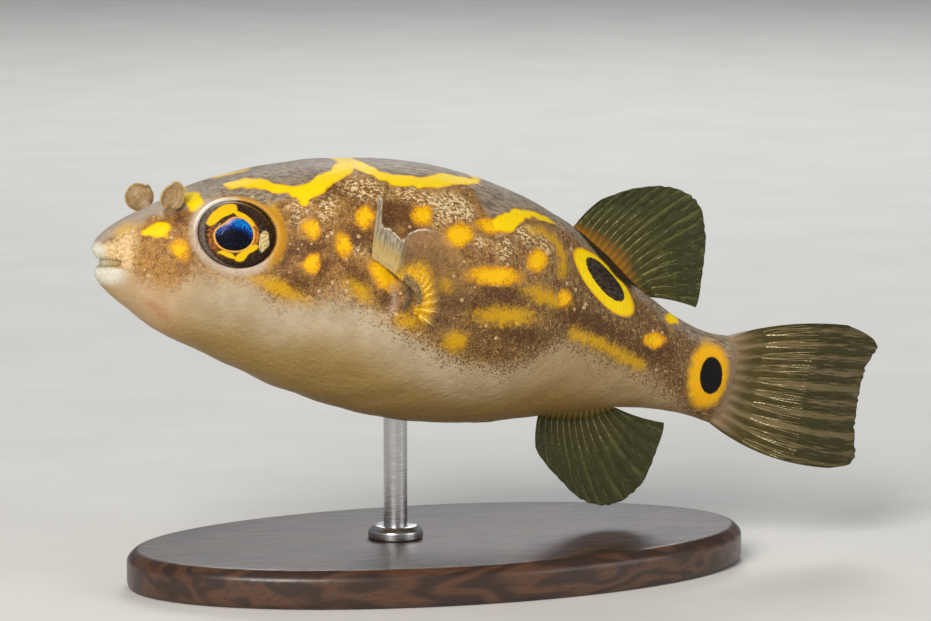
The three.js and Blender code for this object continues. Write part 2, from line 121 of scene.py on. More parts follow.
def gap_level(across):
    """Level of the gap between the lips, which climbs to the corners of the mouth."""
    return MOUTH_HEIGHT + MOUTH_LIFT * (across / MOUTH_HALF) ** 2


def snout(u, angle):
    """Points of the snout: u is 0 at the edge of the mouth and 1 at the body."""
    c, s = np.cos(angle), np.sin(angle)
    edge = np.stack([
        MOUTH_FRONT + (MOUTH_CORNER - MOUTH_FRONT) * s * s,
        MOUTH_HALF * s,
        gap_level(MOUTH_HALF * s) + GAPE * np.sign(c) * np.abs(c) ** 0.6,
    ], -1)
    roll = edge + np.stack([
        -around(LIP_ROLL, c),
        LIP_RISE[1] * s,
        around(LIP_RISE, c) * c,
    ], -1)
    side = SNOUT_RISE[1]
    brow = np.stack([
        around(SNOUT_REACH, c),
        SNOUT_HALF * s,
        side + (np.where(c > 0, SNOUT_RISE[0], SNOUT_RISE[2]) - side) * np.abs(c),
    ], -1)
    end = section(SNOUT_END, angle)
    u = np.asarray(u)[..., None]
    v = 1 - u
    return v**3 * edge + 3 * v * v * u * roll + 3 * v * u * u * brow + u**3 * end


def place(points):
    """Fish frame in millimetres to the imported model's frame in metres."""
    x, y, z = np.moveaxis(np.asarray(points, float), -1, 0)
    c, s = math.cos(NOSE_UP), math.sin(NOSE_UP)
    return (np.stack([x * c + z * s, y, z * c - x * s], -1) + FISH_AT) * MM


def turned(about_x, about_z):
    """Rotation matrix: about X first and then about Z."""
    cx, sx, cz, sz = math.cos(about_x), math.sin(about_x), math.cos(about_z), math.sin(about_z)
    across = np.array([(1, 0, 0), (0, cx, -sx), (0, sx, cx)])
    return np.array([(cz, -sz, 0), (sz, cz, 0), (0, 0, 1)]) @ across


def step(value, low, high):
    """0 below low, 1 above high, and a smooth rise between them."""
    t = np.clip((value - low) / (high - low), 0, 1)
    return t * t * (3 - 2 * t)


def span(value, low, rise_end, fall_start, high):
    """1 along a stretch, with a smooth rise before it and a smooth fall after it."""
    return step(value, low, rise_end) * (1 - step(value, fall_start, high))


def bell(distance, width):
    return np.exp(-((distance / width) ** 2))


def facing(turn, way, width):
    """Bell round one direction of turn, in radians."""
    return bell(np.angle(np.exp(1j * (turn - way))), width)


def full_turn(count):
    """Angles once round a ring."""
    return np.arange(count) * 2 * math.pi / count


def to_left(points):
    """The same places on the fish's left side."""
    return np.where(points[..., 1:2] > 0, points * (1, -1, 1), points)


# ---- Mesh helpers ----------------------------------------------------

def grid_quads(rows, columns, wrap=False):
    """Quads of a grid of rows by columns, row after row; wrap joins its last column to its first."""
    i = np.arange(rows - 1)[:, None]
    j = np.arange(columns if wrap else columns - 1)[None, :]
    k = (j + 1) % columns
    quads = np.stack([i * columns + j, (i + 1) * columns + j, (i + 1) * columns + k, i * columns + k], -1)
    return quads.reshape(-1, 4)


def seam_cap(start, columns, flip):
    """Closes a ring by joining each column to its mirror; column 0 is the ring's lowest."""
    half = columns // 2
    j = np.arange(1, half - 1)
    quads = start + np.stack([j, j + 1, columns - j - 1, columns - j], -1)
    tris = start + np.array([(0, 1, columns - 1), (half - 1, half, half + 1)])
    return (quads[:, ::-1], tris[:, ::-1]) if flip else (quads, tris)


def closed_run(rings, start=0):
    """Points, quads and triangles of a run of rings, closed by a point in the middle of each end."""
    count, columns = rings.shape[:2]
    points = np.concatenate([rings.reshape(-1, 3), rings[:1].mean(1), rings[-1:].mean(1)])
    j = np.arange(columns)
    k = (j + 1) % columns
    first, end = count * columns, (count - 1) * columns
    low = np.stack([np.full(columns, first), j, k], -1)
    high = np.stack([np.full(columns, first + 1), end + k, end + j], -1)
    return points, start + grid_quads(count, columns, wrap=True), start + np.concatenate([low, high])


def join_runs(parts):
    """Points, quads and triangles of several closed runs of rings together."""
    runs, start = [], 0
    for rings in parts:
        runs.append(closed_run(rings, start))
        start += len(runs[-1][0])
    return [np.concatenate(kind) for kind in zip(*runs)]


def link(name, data):
    """Puts a new object in the scene."""
    made = bpy.data.objects.new(name, data)
    bpy.context.scene.collection.objects.link(made)
    return made


def make_piece(name, points, quads, tris=(), stands_for=(), finish="skin", sharp=None):
    """A smooth-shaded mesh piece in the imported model's frame, riding on the one body."""
    points = np.ascontiguousarray(points, dtype=np.float32).reshape(-1, 3)
    quads = np.asarray(quads, dtype=np.int32).reshape(-1, 4)
    tris = np.asarray(tris, dtype=np.int32).reshape(-1, 3)
    corners = np.concatenate([quads.ravel(), tris.ravel()])
    starts = np.concatenate([np.arange(len(quads)) * 4, quads.size + np.arange(len(tris)) * 3])
    mesh = bpy.data.meshes.new(name)
    mesh.vertices.add(len(points))
    mesh.vertices.foreach_set("co", points.ravel())
    mesh.loops.add(len(corners))
    mesh.loops.foreach_set("vertex_index", corners)
    mesh.polygons.add(len(starts))
    mesh.polygons.foreach_set("loop_start", starts.astype(np.int32))
    mesh.update(calc_edges=True)
    mesh.validate()
    mesh.shade_smooth()
    if sharp:
        mesh.set_sharp_from_angle(angle=math.radians(sharp))
    piece = link(name, mesh)
    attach(piece, "root")
    if stands_for:
        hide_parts(*stands_for)
    return piece


def dress(piece, finish, **masks):
    """Stores one number, or one vector, of each mask for each vertex, and puts on the finish."""
    for name, values in masks.items():
        values = np.asarray(values, dtype=np.float32)
        vector = values.ndim > 1 and values.shape[-1] == 3
        mask = piece.data.attributes.new(name, "FLOAT_VECTOR" if vector else "FLOAT", "POINT")
        mask.data.foreach_set("vector" if vector else "value", values.ravel())
    piece.data.materials.clear()
    piece.data.materials.append(finish.material)


def set_bake_map(piece, rows):
    """Unrolls the skin's grid for the bake: round the body across, mouth to tail up the map."""
    vertex = np.empty(len(piece.data.loops), dtype=np.int32)
    piece.data.loops.foreach_get("vertex_index", vertex)
    row, column = np.divmod(vertex, SKIN_COLUMNS)
    grid = 4 * (rows - 1) * SKIN_COLUMNS
    across = column[:grid].reshape(-1, 4) / SKIN_COLUMNS
    across[(across.max(1) - across.min(1) > 0.5)[:, None] & (across < 0.5)] += 1
    uv = np.empty((len(vertex), 2), dtype=np.float32)
    uv[:grid, 0] = across.ravel() * BAKE_WIDTH + BAKE_MARGIN
    uv[:grid, 1] = row[:grid] / (rows - 1) * BAKE_HEIGHT + BAKE_MARGIN
    caps = np.array([tuple(v.co) for v in piece.data.vertices])[vertex[grid:]] / MM
    front = row[grid:] == 0
    level = np.where(front, caps[front, 2].mean(), caps[~front, 2].mean())
    uv[grid:, 0] = caps[:, 1] / 10 + np.where(front, 0.3, 0.7)
    uv[grid:, 1] = (caps[:, 2] - level) / 400 + 0.982
    piece.data.uv_layers.new(name="OFBake").data.foreach_set("uv", uv.ravel())


def loft(rings, name, **words):
    """Closed skin over a run of rings."""
    return make_piece(name, *closed_run(np.asarray(rings, float)), **words)


# ---- Shader helpers --------------------------------------------------

def colour(r, g, b):
    """Linear colour from ordinary 0 to 255 screen values."""
    def linear(v):
        v /= 255
        return v / 12.92 if v <= 0.04045 else ((v + 0.055) / 1.055) ** 2.4
    return (linear(r), linear(g), linear(b), 1.0)


class Wire:
    """A number or a colour between shader nodes; arithmetic on it adds Math nodes."""

    def __init__(self, finish, socket):
        self.finish, self.socket = finish, socket

    def math(self, operation, *others):
        return self.finish.node("Math", dict(enumerate((self,) + others)), operation=operation)

    def __add__(self, other):
        return self.math("ADD", other)

    def __sub__(self, other):
        return self.math("SUBTRACT", other)

    def __mul__(self, other):
        return self.math("MULTIPLY", other)

    def or_more(self, other):
        return self.math("MAXIMUM", other)

    def rise(self, low, high, bottom=0.0, top=1.0):
        """A smooth rise from bottom to top while this goes from low to high."""
        values = dict(enumerate((self, low, high, bottom, top)))
        return self.finish.node("MapRange", values, interpolation_type="SMOOTHSTEP")

    def between(self, a, b):
        """Colour a where this is 0, b where it is 1."""
        return self.finish.node("Mix", {"Factor": self, 6: a, 7: b}, 2, data_type="RGBA")

    def shades(self, low, high, a, b):
        return self.rise(low, high).between(a, b)

    def coat(self, share, paint):
        """Lays paint over this colour, where share says."""
        self.socket = share.between(self, paint).socket


class Finish:
    """Builds one node material step by step; its colours are 0 to 255 screen values."""

    def __init__(self, name):
        self.material = bpy.data.materials.new(name)
        self.material.use_nodes = True
        self.tree = self.material.node_tree
        self.shader = self.tree.nodes["Principled BSDF"]

    def feed(self, socket, value):
        if isinstance(value, Wire):
            self.tree.links.new(value.socket, socket)
        elif socket.type == "RGBA":
            socket.default_value = colour(*value)
        else:
            socket.default_value = value

    def node(self, kind, inputs, output=0, **settings):
        """Adds a node, feeds its inputs and gives the wire from one output."""
        made = self.tree.nodes.new("ShaderNode" + kind)
        for key, value in settings.items():
            setattr(made, key, value)
        for key, value in inputs.items():
            self.feed(made.inputs[key], value)
        return Wire(self, made.outputs[output])

    def mask(self, name):
        return self.node("Attribute", {}, "Fac", attribute_name=name)

    def masks(self, *names):
        return [self.mask(name) for name in names]

    def vector(self, name="fish"):
        return self.node("Attribute", {}, "Vector", attribute_name=name)

    def object_place(self):
        """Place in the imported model's frame, in metres."""
        return self.node("TexCoord", {}, "Object")

    def stretch(self, vector, scale):
        return self.node("Mapping", {"Vector": vector, "Scale": scale})

    def noise(self, vector, scale, detail=3.0, roughness=0.55, distortion=0.0):
        inputs = {"Vector": vector, "Scale": scale, "Detail": detail, "Roughness": roughness}
        return self.node("TexNoise", {**inputs, "Distortion": distortion}, "Fac")

    def cells(self, vector, scale):
        """Distance to the nearest of scattered points."""
        return self.node("TexVoronoi", {"Vector": vector, "Scale": scale}, "Distance")

    def bump(self, height, deep, strength):
        """Shading as if height stood this deep, in millimetres."""
        return self.node("Bump", {"Strength": strength, "Distance": deep * MM, "Height": height})

    def set(self, **sockets):
        for key, value in sockets.items():
            self.feed(self.shader.inputs[key.replace("_", " ")], value)
        return self


# ---- Camera, floor and light -----------------------------------------

VIEW_AZIMUTH, VIEW_ELEVATION = math.radians(-20), math.radians(8)
VIEW_DISTANCE, VIEW_NEAREST = 0.45, 0.01
VIEW_AT = (32.6, 0.0, 1.6)          # fish frame, mm
VIEW_WIDTH = 78.24                  # width of the picture at that distance, mm
SENSOR = 36.0
FLOOR_RADIUS, FLOOR_CORNERS = 8.0, 64
LIGHTS_AIM = (0.0, 0.0, 0.024)
# size, power, place and tint
LIGHTS = {
    "key": (0.30, 3.1, (-0.33, -0.40, 0.32), (1.0, 0.96, 0.90)),
    "fill": (0.45, 0.95, (0.42, -0.40, 0.20), (1.0, 1.0, 1.0)),
    "rim": (0.25, 1.0, (0.18, 0.42, 0.34), (0.95, 0.98, 1.0)),
}
SKY, SKY_STRENGTH = (0.93, 0.96, 1.0, 1.0), 0.22


def add_camera():
    aim = Vector(place(VIEW_AT).tolist())
    away = Vector((
        math.sin(VIEW_AZIMUTH) * math.cos(VIEW_ELEVATION),
        -math.cos(VIEW_AZIMUTH) * math.cos(VIEW_ELEVATION),
        math.sin(VIEW_ELEVATION),
    ))
    data = bpy.data.cameras.new("camera")
    data.sensor_width = SENSOR
    data.lens = SENSOR * VIEW_DISTANCE / (VIEW_WIDTH * MM)
    data.clip_start = VIEW_NEAREST
    camera = link("camera", data)
    camera.location = aim + away * VIEW_DISTANCE
    camera.rotation_euler = away.to_track_quat("Z", "Y").to_euler()
    bpy.context.scene.camera = camera


def floor_finish():
    f = Finish("floor")
    grain = f.noise(f.object_place(), 60.0, 4.0)
    return f.set(Base_Color=grain.shades(0.3, 0.7, (226, 224, 219), (231, 229, 224)), Roughness=0.85)


def add_floor():
    """Plain pale floor, wide enough to fill any view of the fish."""
    turn = full_turn(FLOOR_CORNERS)
    rim = np.stack([FLOOR_RADIUS * np.cos(turn), FLOOR_RADIUS * np.sin(turn), 0 * turn], -1)
    mesh = bpy.data.meshes.new("floor")
    mesh.from_pydata(rim.tolist(), [], [list(range(FLOOR_CORNERS))])
    floor = link("floor", mesh)
    dress(floor, floor_finish())


def add_studio():
    world = bpy.data.worlds.new("studio")
    world.use_nodes = True
    background = world.node_tree.nodes["Background"]
    background.inputs["Color"].default_value = SKY
    background.inputs["Strength"].default_value = SKY_STRENGTH
    bpy.context.scene.world = world
    for name, (size, power, at, tint) in LIGHTS.items():
        data = bpy.data.lights.new(name, "AREA")
        data.shape = "DISK"
        data.size, data.energy, data.color = size, power, tint
        light = link(name, data)
        light.location = at
        light.rotation_euler = (Vector(at) - Vector(LIGHTS_AIM)).to_track_quat("Z", "Y").to_euler()
    bpy.context.scene.view_settings.view_transform = "Standard"


# ---- Skin ------------------------------------------------------------

SKIN_COLUMNS = 560 if DENSE else 240
LIP_STEPS, HEAD_STEP, TRUNK_STEP = (72, 0.085, 0.15) if DENSE else (36, 0.2, 0.34)
HEAD_DETAIL_END = 15.0
MOUTH_DEPTH, TAIL_CLOSE = 0.5, 0.35
BAKE_WIDTH, BAKE_HEIGHT, BAKE_MARGIN = 0.996, 0.96, 0.002
LID_EDGE = 1.02                     # where the skin dips behind the lids, in openings
LIDS_END = -1.5                     # the lids' shaping stops this far inward of the eye's middle
FAR = 9.0                           # stands for nowhere near


def skin_grid():
    """Rings from inside the mouth, over the lips and back to the tail root."""
    angle = math.pi + full_turn(SKIN_COLUMNS)
    rings, progress = [], []
    edge = snout(0.0, angle)
    for share in (1.0, 0.7, 0.4, 0.2, 0.08):
        inner = edge.copy()
        inner[:, 0] += MOUTH_DEPTH * (1 - 0.85 * np.abs(np.sin(angle)) ** 1.5) * share
        inner[:, 1] *= 1 - 0.12 * share
        inner[:, 2] = MOUTH_HEIGHT + (inner[:, 2] - MOUTH_HEIGHT) * (1 + 0.5 * share)
        rings.append(inner)
        progress.append(-share)
    for u in np.linspace(0, 1, LIP_STEPS, endpoint=False):
        rings.append(snout(u, angle))
        progress.append(u)
    head = np.arange(SNOUT_END, HEAD_DETAIL_END, HEAD_STEP)
    trunk = np.linspace(HEAD_DETAIL_END, TAIL_ROOT, int((TAIL_ROOT - HEAD_DETAIL_END) / TRUNK_STEP))
    rings += [section(at, angle) for at in np.concatenate([head, trunk])]
    last = rings[-1]
    rings += [last * (1, 1 - share, 1) + (TAIL_CLOSE * share, 0, 0) for share in (0.35, 0.65, 0.85)]
    progress += [1.0] * (len(rings) - len(progress))
    from_belly = np.degrees(np.abs(math.pi - (angle % (2 * math.pi))))
    progress, angles = np.broadcast_arrays(np.array(progress)[:, None], 180 - from_belly)
    return np.array(rings), angles, progress


def grid_normals(grid):
    """Outward unit normals of a grid of rings."""
    along = np.gradient(grid, axis=0)
    across = np.roll(grid, -1, axis=1) - np.roll(grid, 1, axis=1)
    normal = np.cross(across, along)
    return normal / np.maximum(np.linalg.norm(normal, axis=-1, keepdims=True), 1e-9)


def eye_frame(side):
    """Middle of the eye, and its axes as rows: tailward, outward and up."""
    turn = turned(side * EYE_UPWARD, side * EYE_FORWARD)
    return np.array(EYE_AT) * (1, side, 1), turn.T * [(1,), (side,), (1,)]


def eye_local(points, side):
    """Distances tailward, outward and up from the middle of the eye, and in openings of the lids."""
    middle, axes = eye_frame(side)
    a, n, b = np.moveaxis((points - middle) @ axes.T, -1, 0)
    return a, n, b, np.hypot(a / EYE_OPENING[0], b / EYE_OPENING[1])


def eye_inside(a, b):
    return np.clip(1 - (a / EYE_RADII[0]) ** 2 - (b / EYE_RADII[2]) ** 2, 0, 1)


def eye_height(a, b):
    """How far the eyeball stands out at (tailward, up) from its middle."""
    return EYE_RADII[1] * np.sqrt(eye_inside(a, b))


def iris_dome(a, b):
    """Height of the iris at (tailward, up) from the middle of the eye, without the lens."""
    inside = eye_inside(a, b)
    return 0.72 * step(inside, 0, 0.12) + 0.62 * inside


def crowd_lids(points, side):
    """Gathers the skin's points round the edges of the lids, where it bends most."""
    a, n, b, radius = eye_local(points, side)
    gap = radius - LID_EDGE
    shift = -0.62 * gap * bell(gap, 0.32) * (n > LIDS_END) / np.maximum(radius, 1e-6)
    axes = eye_frame(side)[1]
    return points + (shift * a)[..., None] * axes[0] + (shift * b)[..., None] * axes[2]


def shape_orbit(points, side):
    """Draws the skin round the eyeball: a raised lid edge, and a pocket behind it."""
    a, n, b, radius = eye_local(points, side)
    near = (n > LIDS_END) & (radius < 2.0)
    edge_height = eye_height(a / np.maximum(radius, 1e-6), b / np.maximum(radius, 1e-6))
    lid = edge_height + 0.06 + 0.2 * bell(radius - 1.08, 0.055) - 0.10 * bell(radius - 1.24, 0.08)
    pull = 1 - step(radius, 1.10, 1.75)
    target = n + (np.maximum(lid, 0.55 * n + 0.45 * lid) - n) * pull
    sunk = iris_dome(a, b) - 0.25
    target = np.where(radius < LID_EDGE, sunk + (target - sunk) * step(radius, 0.955, LID_EDGE), target)
    change = np.where(near, target - n, 0)
    outward = eye_frame(side)[1][1]
    return points + change[..., None] * outward, np.where(near, radius, FAR), np.arctan2(b, a)


def surface(at, angle):
    """One point of the skin this far behind the mouth, on the body or on the snout."""
    if at >= SNOUT_END:
        return section(at, angle)
    run = snout(np.linspace(0.45, 1, 56), np.full(56, angle))
    return np.array([np.interp(at, run[:, 0], run[:, k]) for k in range(3)])


def line_points(knots):
    """Points of the flank line through the (at, angle in degrees) knots, left side."""
    t = np.linspace(0, len(knots) - 1, 8 * len(knots))
    rows = np.column_stack([np.arange(len(knots)), knots])
    at, angle = smooth(rows, 1, t), np.radians(smooth(rows, 2, t))
    return np.array([surface(*pair) for pair in zip(at, -angle)])


def line_distance(points, line):
    """Distance from each point to the nearest of the line's points."""
    best = np.full(points.shape[:-1], np.inf)
    for spot in line:
        best = np.minimum(best, np.linalg.norm(points - spot, axis=-1))
    return best


def ripple(points, size, count, seed):
    """Gentle seeded unevenness, about 1 high, with waves about this long in millimetres."""
    own = np.random.default_rng(seed)
    total = np.zeros(points.shape[:-1])
    for _ in range(count):
        way = own.normal(size=3)
        way *= 2 * math.pi / (size * own.uniform(0.7, 1.5)) / np.linalg.norm(way)
        total += np.sin(points @ way + own.uniform(0, 6.28))
    return total / math.sqrt(count)


# Folds on the flank: lift, half width, then places (behind the mouth, angle from the back)
FOLDS = {
    "gill": (0.22, 0.45, [(18.5, 75), (19.3, 78.5), (20.1, 81.5), (20.8, 84.2), (21.3, 88)]),
    "crack": (-0.3, 0.12, [(20.2, 70.5), (20.7, 73.4), (21.5, 75.4), (22.2, 77.4), (22.9, 79.4)]),
    "axil": (-0.2, 0.3, [(23.8, 80.5), (24.05, 83), (24.15, 86), (23.95, 89)]),
    "pad": (0.3, 0.6, [(22.4, 79), (22.9, 82.4), (23.2, 86), (23.1, 89.5)]),
}
PAD_RIM = [(22.7, 83.5), (23.0, 87), (23.0, 91), (22.6, 94.5)]
# Folds by the mouth, in the fish frame
CORNER_FOLD = [
    (1.53, -2.16, 2.38), (1.58, -2.33, 2.0), (1.62, -2.45, 1.6), (1.72, -2.54, 1.1), (1.8, -2.57, 0.6),
]
LIP_WRINKLE = [(0.15, -1.2, 2.15), (0.35, -1.38, 2.16), (0.6, -1.6, 2.2), (0.85, -1.8, 2.24)]
NOSTRIL, NOSTRIL_SQUASH = (4.3, -2.25, 4.9), (0.8, 1, 1)
NOSTRIL_LIFT, NOSTRIL_HALF = 0.4, 0.62
# Ridges under the fins: where each starts, is full, begins to fall and ends; lift, half width
DORSAL_RIDGE, DORSAL_LIFT, DORSAL_HALF = (39.6, 41.0, 47.8, 49.2), 0.3, 0.6
ANAL_RIDGE, ANAL_LIFT, ANAL_HALF = (40.4, 41.4, 46.8, 48.0), 0.28, 0.8
FIN_RIBS, RIBS_START, RIBS_LONG = 13, 40.6, 8.0
# painted shade in the fold beside the dorsal fin's base: where it is, how long and how wide
DARK_BAND_AT, DARK_BAND_LONG, DARK_BAND_HALF = 43.5, 4.5, 3.2       # under the dorsal fin


def shape_details(points, normals, progress):
    """Raises and sinks the skin along its folds; returns the new points and the folds' masks, among them
    painted shade in the creases and the axil.
    """
    left = to_left(points)
    x, y, z = np.moveaxis(points, -1, 0)
    across = np.abs(y)
    body, outside, above = progress >= 1, progress > 0, z > 2
    near = {name: line_distance(left, line_points(knots)) for name, (_, _, knots) in FOLDS.items()}
    raised = body * sum(lift * bell(near[name], half) for name, (lift, half, _) in FOLDS.items())
    fold, wrinkle = (line_distance(left, line) for line in (CORNER_FOLD, LIP_WRINKLE))
    raised += outside * (0.14 * bell(fold, 0.24) - 0.10 * bell(fold - 0.42, 0.16))
    raised -= outside * 0.10 * bell(wrinkle, 0.12)
    nostril = np.linalg.norm((left - np.array(NOSTRIL)) * NOSTRIL_SQUASH, axis=-1)
    raised += NOSTRIL_LIFT * bell(nostril, NOSTRIL_HALF)
    dorsal = span(x, *DORSAL_RIDGE) * above
    raised += dorsal * (DORSAL_LIFT * bell(y, DORSAL_HALF) - 0.08 * bell(across - 1.5, 0.5))
    ribs = 0.5 + 0.5 * np.cos((x - RIBS_START) / RIBS_LONG * math.pi * 2 * FIN_RIBS)
    raised += dorsal * 0.08 * ribs * bell(across - 0.8, 0.35)
    raised += span(x, *ANAL_RIDGE) * (z < -2) * ANAL_LIFT * bell(y, ANAL_HALF)
    spread = np.clip(1 - ((x - DARK_BAND_AT) / DARK_BAND_LONG) ** 2, 0, 1) ** 0.85 * DARK_BAND_HALF
    band = 1 - step(across + 0.12 * ripple(points, 1.2, 6, 12) - spread, -0.35, 0.1)
    # painted shade in the gill crack and in the fold beside the dorsal fin's base
    crease_shade = np.maximum(body * bell(near["crack"], 0.16), above * (spread > 0) * band)
    # painted shade in the wrinkle along the upper lip
    lip_crease_shade = outside * bell(wrinkle, 0.17) * (0.6 + 0.4 * ripple(points, 0.5, 6, 9))
    return points + raised[..., None] * normals, {
        "crease_shade": np.maximum(crease_shade, 0.75 * lip_crease_shade),
        # painted shade in the pectoral fin's axil
        "axil": body * bell(near["axil"], 0.27),
        "pad_rim": body * bell(line_distance(left, line_points(PAD_RIM)), 0.3),
        "fold": outside * bell(fold, 0.26),
    }


# Markings on the flank: behind the mouth, angle from the back, half length, half
# height, tilt up toward the tail (degrees)
CRISP_SPOTS = [(6.25, 23, 1.55, 0.82, -85), (50.6, 28, 1.1, 0.6, 40)]
SOFT_SPOTS = [
    (5.5, 76, 1.0, 0.76, -63), (15.4, 65, 1.0, 0.72, -66), (18.1, 71, 1.05, 0.66, -64),
    (15.8, 81, 0.86, 0.74, 83), (19.6, 56, 1.0, 0.82, 80), (24.5, 50, 1.1, 0.9, 64),
    (21.7, 80, 1.65, 0.85, -39), (27.8, 56, 1.5, 1.0, 43), (30.9, 47, 1.5, 0.72, 8),
    (35.4, 57, 1.3, 0.92, 45), (31.3, 70, 2.75, 0.82, 12), (48.6, 72, 1.3, 0.72, 18),
    (38.5, 71, 0.9, 0.72, 70),
]
DULL_SPOTS = [
    (13.6, 91, 1.9, 0.5, -11), (20.1, 87, 1.05, 0.55, -27), (32.9, 85, 2.6, 0.66, 8),
    (36.6, 73, 2.0, 0.62, -2), (28.9, 99, 1.0, 0.8, 12), (27.0, 78, 0.7, 0.55, -31),
    (24.3, 94, 0.9, 0.45, 2),
]
SNOUT_SMEAR = (1.25, 26, 0.8, 0.5, 5)
EYESPOTS = [
    ((42.75, 49.0, 4.0, 1.95, -12), (42.8, 46.9, 2.55, 1.2, -13)),
    ((54.9, 89, 2.9, 2.25, -76), (55.1, 88, 1.62, 1.2, -70)),
]
DARK_PATCHES = [
    (22.2, 51, 1.9, 1.5, 0), (14.4, 76, 1.4, 0.7, 0), (15.9, 74, 1.5, 0.6, 0),
    (14.9, 89, 1.3, 0.9, 0), (19.3, 66, 1.2, 0.9, 0), (19.6, 83, 1.2, 0.7, -40),
    (22.2, 88, 1.1, 0.7, 0), (32.4, 77, 2.5, 1.1, 0), (41.4, 79, 5.0, 0.95, -8),
    (29.5, 84, 2.6, 0.9, 0), (34.6, 91, 2.8, 0.8, 0), (13.6, 82, 1.0, 0.6, 80),
    (16.7, 83, 1.2, 0.7, 80), (23.7, 58, 1.0, 0.7, 80), (5.4, 45, 0.9, 0.7, 70),
    (16.7, 40, 1.4, 0.7, -20), (8.5, 84, 1.4, 0.5, -10), (48.5, 84, 3.0, 1.0, 10),
]
FLECKED = [
    (14.4, 53, 1.3, 0.75, 80), (16.5, 52, 1.2, 0.75, 80), (19.6, 37, 1.8, 1.3, -10),
    (24.3, 40, 2.6, 0.9, -10), (26.0, 48, 1.0, 0.65, 80), (34.3, 45, 1.3, 0.95, 0),
    (32.1, 56, 0.9, 1.0, 0), (36.2, 48, 0.9, 0.9, 0), (29.7, 57, 0.8, 0.5, 0),
]
DOTTED = [(27.4, 41, 1.9, 1.5, -10), (19.6, 72, 0.56, 0.33, 10)]
# Stripes: behind the mouth, angle from the back, half width
STRIPES = [
    [(8.95, 17.8, 0.4), (9.4, 19.8, 0.6), (10.3, 21.8, 0.7), (11.1, 27, 0.68), (12.2, 34, 0.6),
     (13.4, 38, 0.48), (14.1, 40.5, 0.62), (14.6, 41, 0.82), (15.2, 39, 0.82), (15.7, 37, 0.8),
     (16.5, 30.5, 0.76), (17.1, 28, 0.78), (17.6, 25.5, 0.76), (18.3, 19, 0.84), (18.9, 11, 0.92),
     (19.3, 2, 1.0)],
    [(19.2, 0, 0.95), (19.6, 9, 0.9), (20.0, 16.5, 0.78), (20.8, 23, 0.6), (21.8, 27.5, 0.62),
     (23.0, 29, 0.74), (23.9, 28.3, 0.72), (24.6, 28.6, 0.7), (25.5, 27.2, 0.7), (26.5, 24, 0.8),
     (27.5, 20, 0.86), (28.5, 18.5, 0.76), (29.4, 17.5, 0.55), (30.2, 14.5, 0.4), (30.6, 7, 0.5),
     (30.8, 0, 0.55)],
    [(14.4, 42, 0.7), (14.6, 47, 0.42), (14.65, 50, 0.28)],
    [(31.4, 46, 0.6), (32.25, 42.5, 0.85), (32.8, 39.9, 0.8), (33.3, 36, 0.7), (33.8, 33, 0.62),
     (34.9, 29.2, 0.42), (35.95, 27.7, 0.46), (36.8, 26.4, 0.34), (37.6, 26, 0.15)],
    [(2.8, 50, 0.3), (3.35, 52, 0.52), (3.95, 53.5, 0.78)],
]
# On the right side of the crown only
CROWN_STRIPE = [(8.8, 5.5, 0.3), (9.3, 5.3, 0.56), (10.2, 4.3, 0.6), (10.9, 3.0, 0.5), (11.4, 2, 0.2)]
DULL_STRIPES = [
    [(40.1, 87, 0.5), (42.9, 89, 0.46), (45.8, 94, 0.42), (47.8, 98, 0.4)],
    [(12.2, 52, 0.3), (12.6, 60, 0.42), (12.9, 68, 0.45), (13.0, 75, 0.45), (12.8, 80, 0.42),
     (12.3, 83, 0.3)],
    [(34.8, 41, 0.3), (36.2, 39.5, 0.34), (37.3, 42, 0.4), (37.9, 47, 0.42), (38.1, 54, 0.34),
     (37.9, 60, 0.2)],
]
# The edges of the pale belly and of the grey back: behind the mouth, angle from the back
BELLY_EDGE = [
    (-1.0, 96), (1.6, 93), (2.3, 99), (3.1, 104), (4.9, 106), (5.9, 101), (6.7, 92), (7.3, 89),
    (8.2, 90.5), (10.5, 90), (11.3, 89), (12.0, 91), (13.1, 96), (14.4, 98), (15.5, 96), (17.7, 90.5),
    (19.4, 90), (21.0, 91), (22.9, 95), (24.9, 100), (26.8, 103), (29.7, 108), (32.5, 109),
    (35.3, 106), (37.4, 97.5), (38.7, 91.5), (40.8, 91), (43.1, 95), (46.5, 100), (50.0, 110),
    (52.5, 132), (55.0, 160), (58.5, 176),
]
BACK_EDGE = [
    (-1.0, 40), (-0.2, 24), (0.3, 30), (0.8, 33), (1.4, 31), (2.1, 29), (2.9, 31), (3.8, 29),
    (5.2, 31), (7.0, 42), (10.0, 52), (13.0, 47), (14.5, 41), (16.0, 33), (17.5, 23), (19.3, 6),
    (20.4, 20), (21.5, 27), (23.0, 29), (25.0, 25), (27.0, 18), (28.6, 11), (29.3, 22), (30.2, 38),
    (32.2, 42), (33.0, 36), (34.0, 29), (36.5, 24), (38.0, 27), (42.0, 30), (46.0, 33), (50.0, 42),
    (54.0, 52), (56.2, 78), (57.5, 120), (58.5, 126),
]
THROAT_STREAK = [(4.3, 132), (5.1, 135.5), (6.1, 139)]


def spot_field(left, spot):
    """How far inside a spot each point is, in millimetres; negative outside."""
    at, angle, long, short, tilt = spot
    t = math.radians(angle)
    middle = surface(at, -t)
    along = surface(at + 0.1, -t) - middle
    along /= np.linalg.norm(along)
    upward = surface(at, 0.02 - t) - middle
    upward -= along * (upward @ along)
    upward /= np.linalg.norm(upward)
    away = left - middle
    a, b = away @ along, away @ upward
    c, s = math.cos(math.radians(tilt)), math.sin(math.radians(tilt))
    reach = np.sqrt(((a * c + b * s) / long) ** 2 + ((b * c - a * s) / short) ** 2)
    depth = np.abs(away @ np.cross(along, upward))
    return np.where(depth < 3.5, (1 - reach) * min(short, long), -3.0)


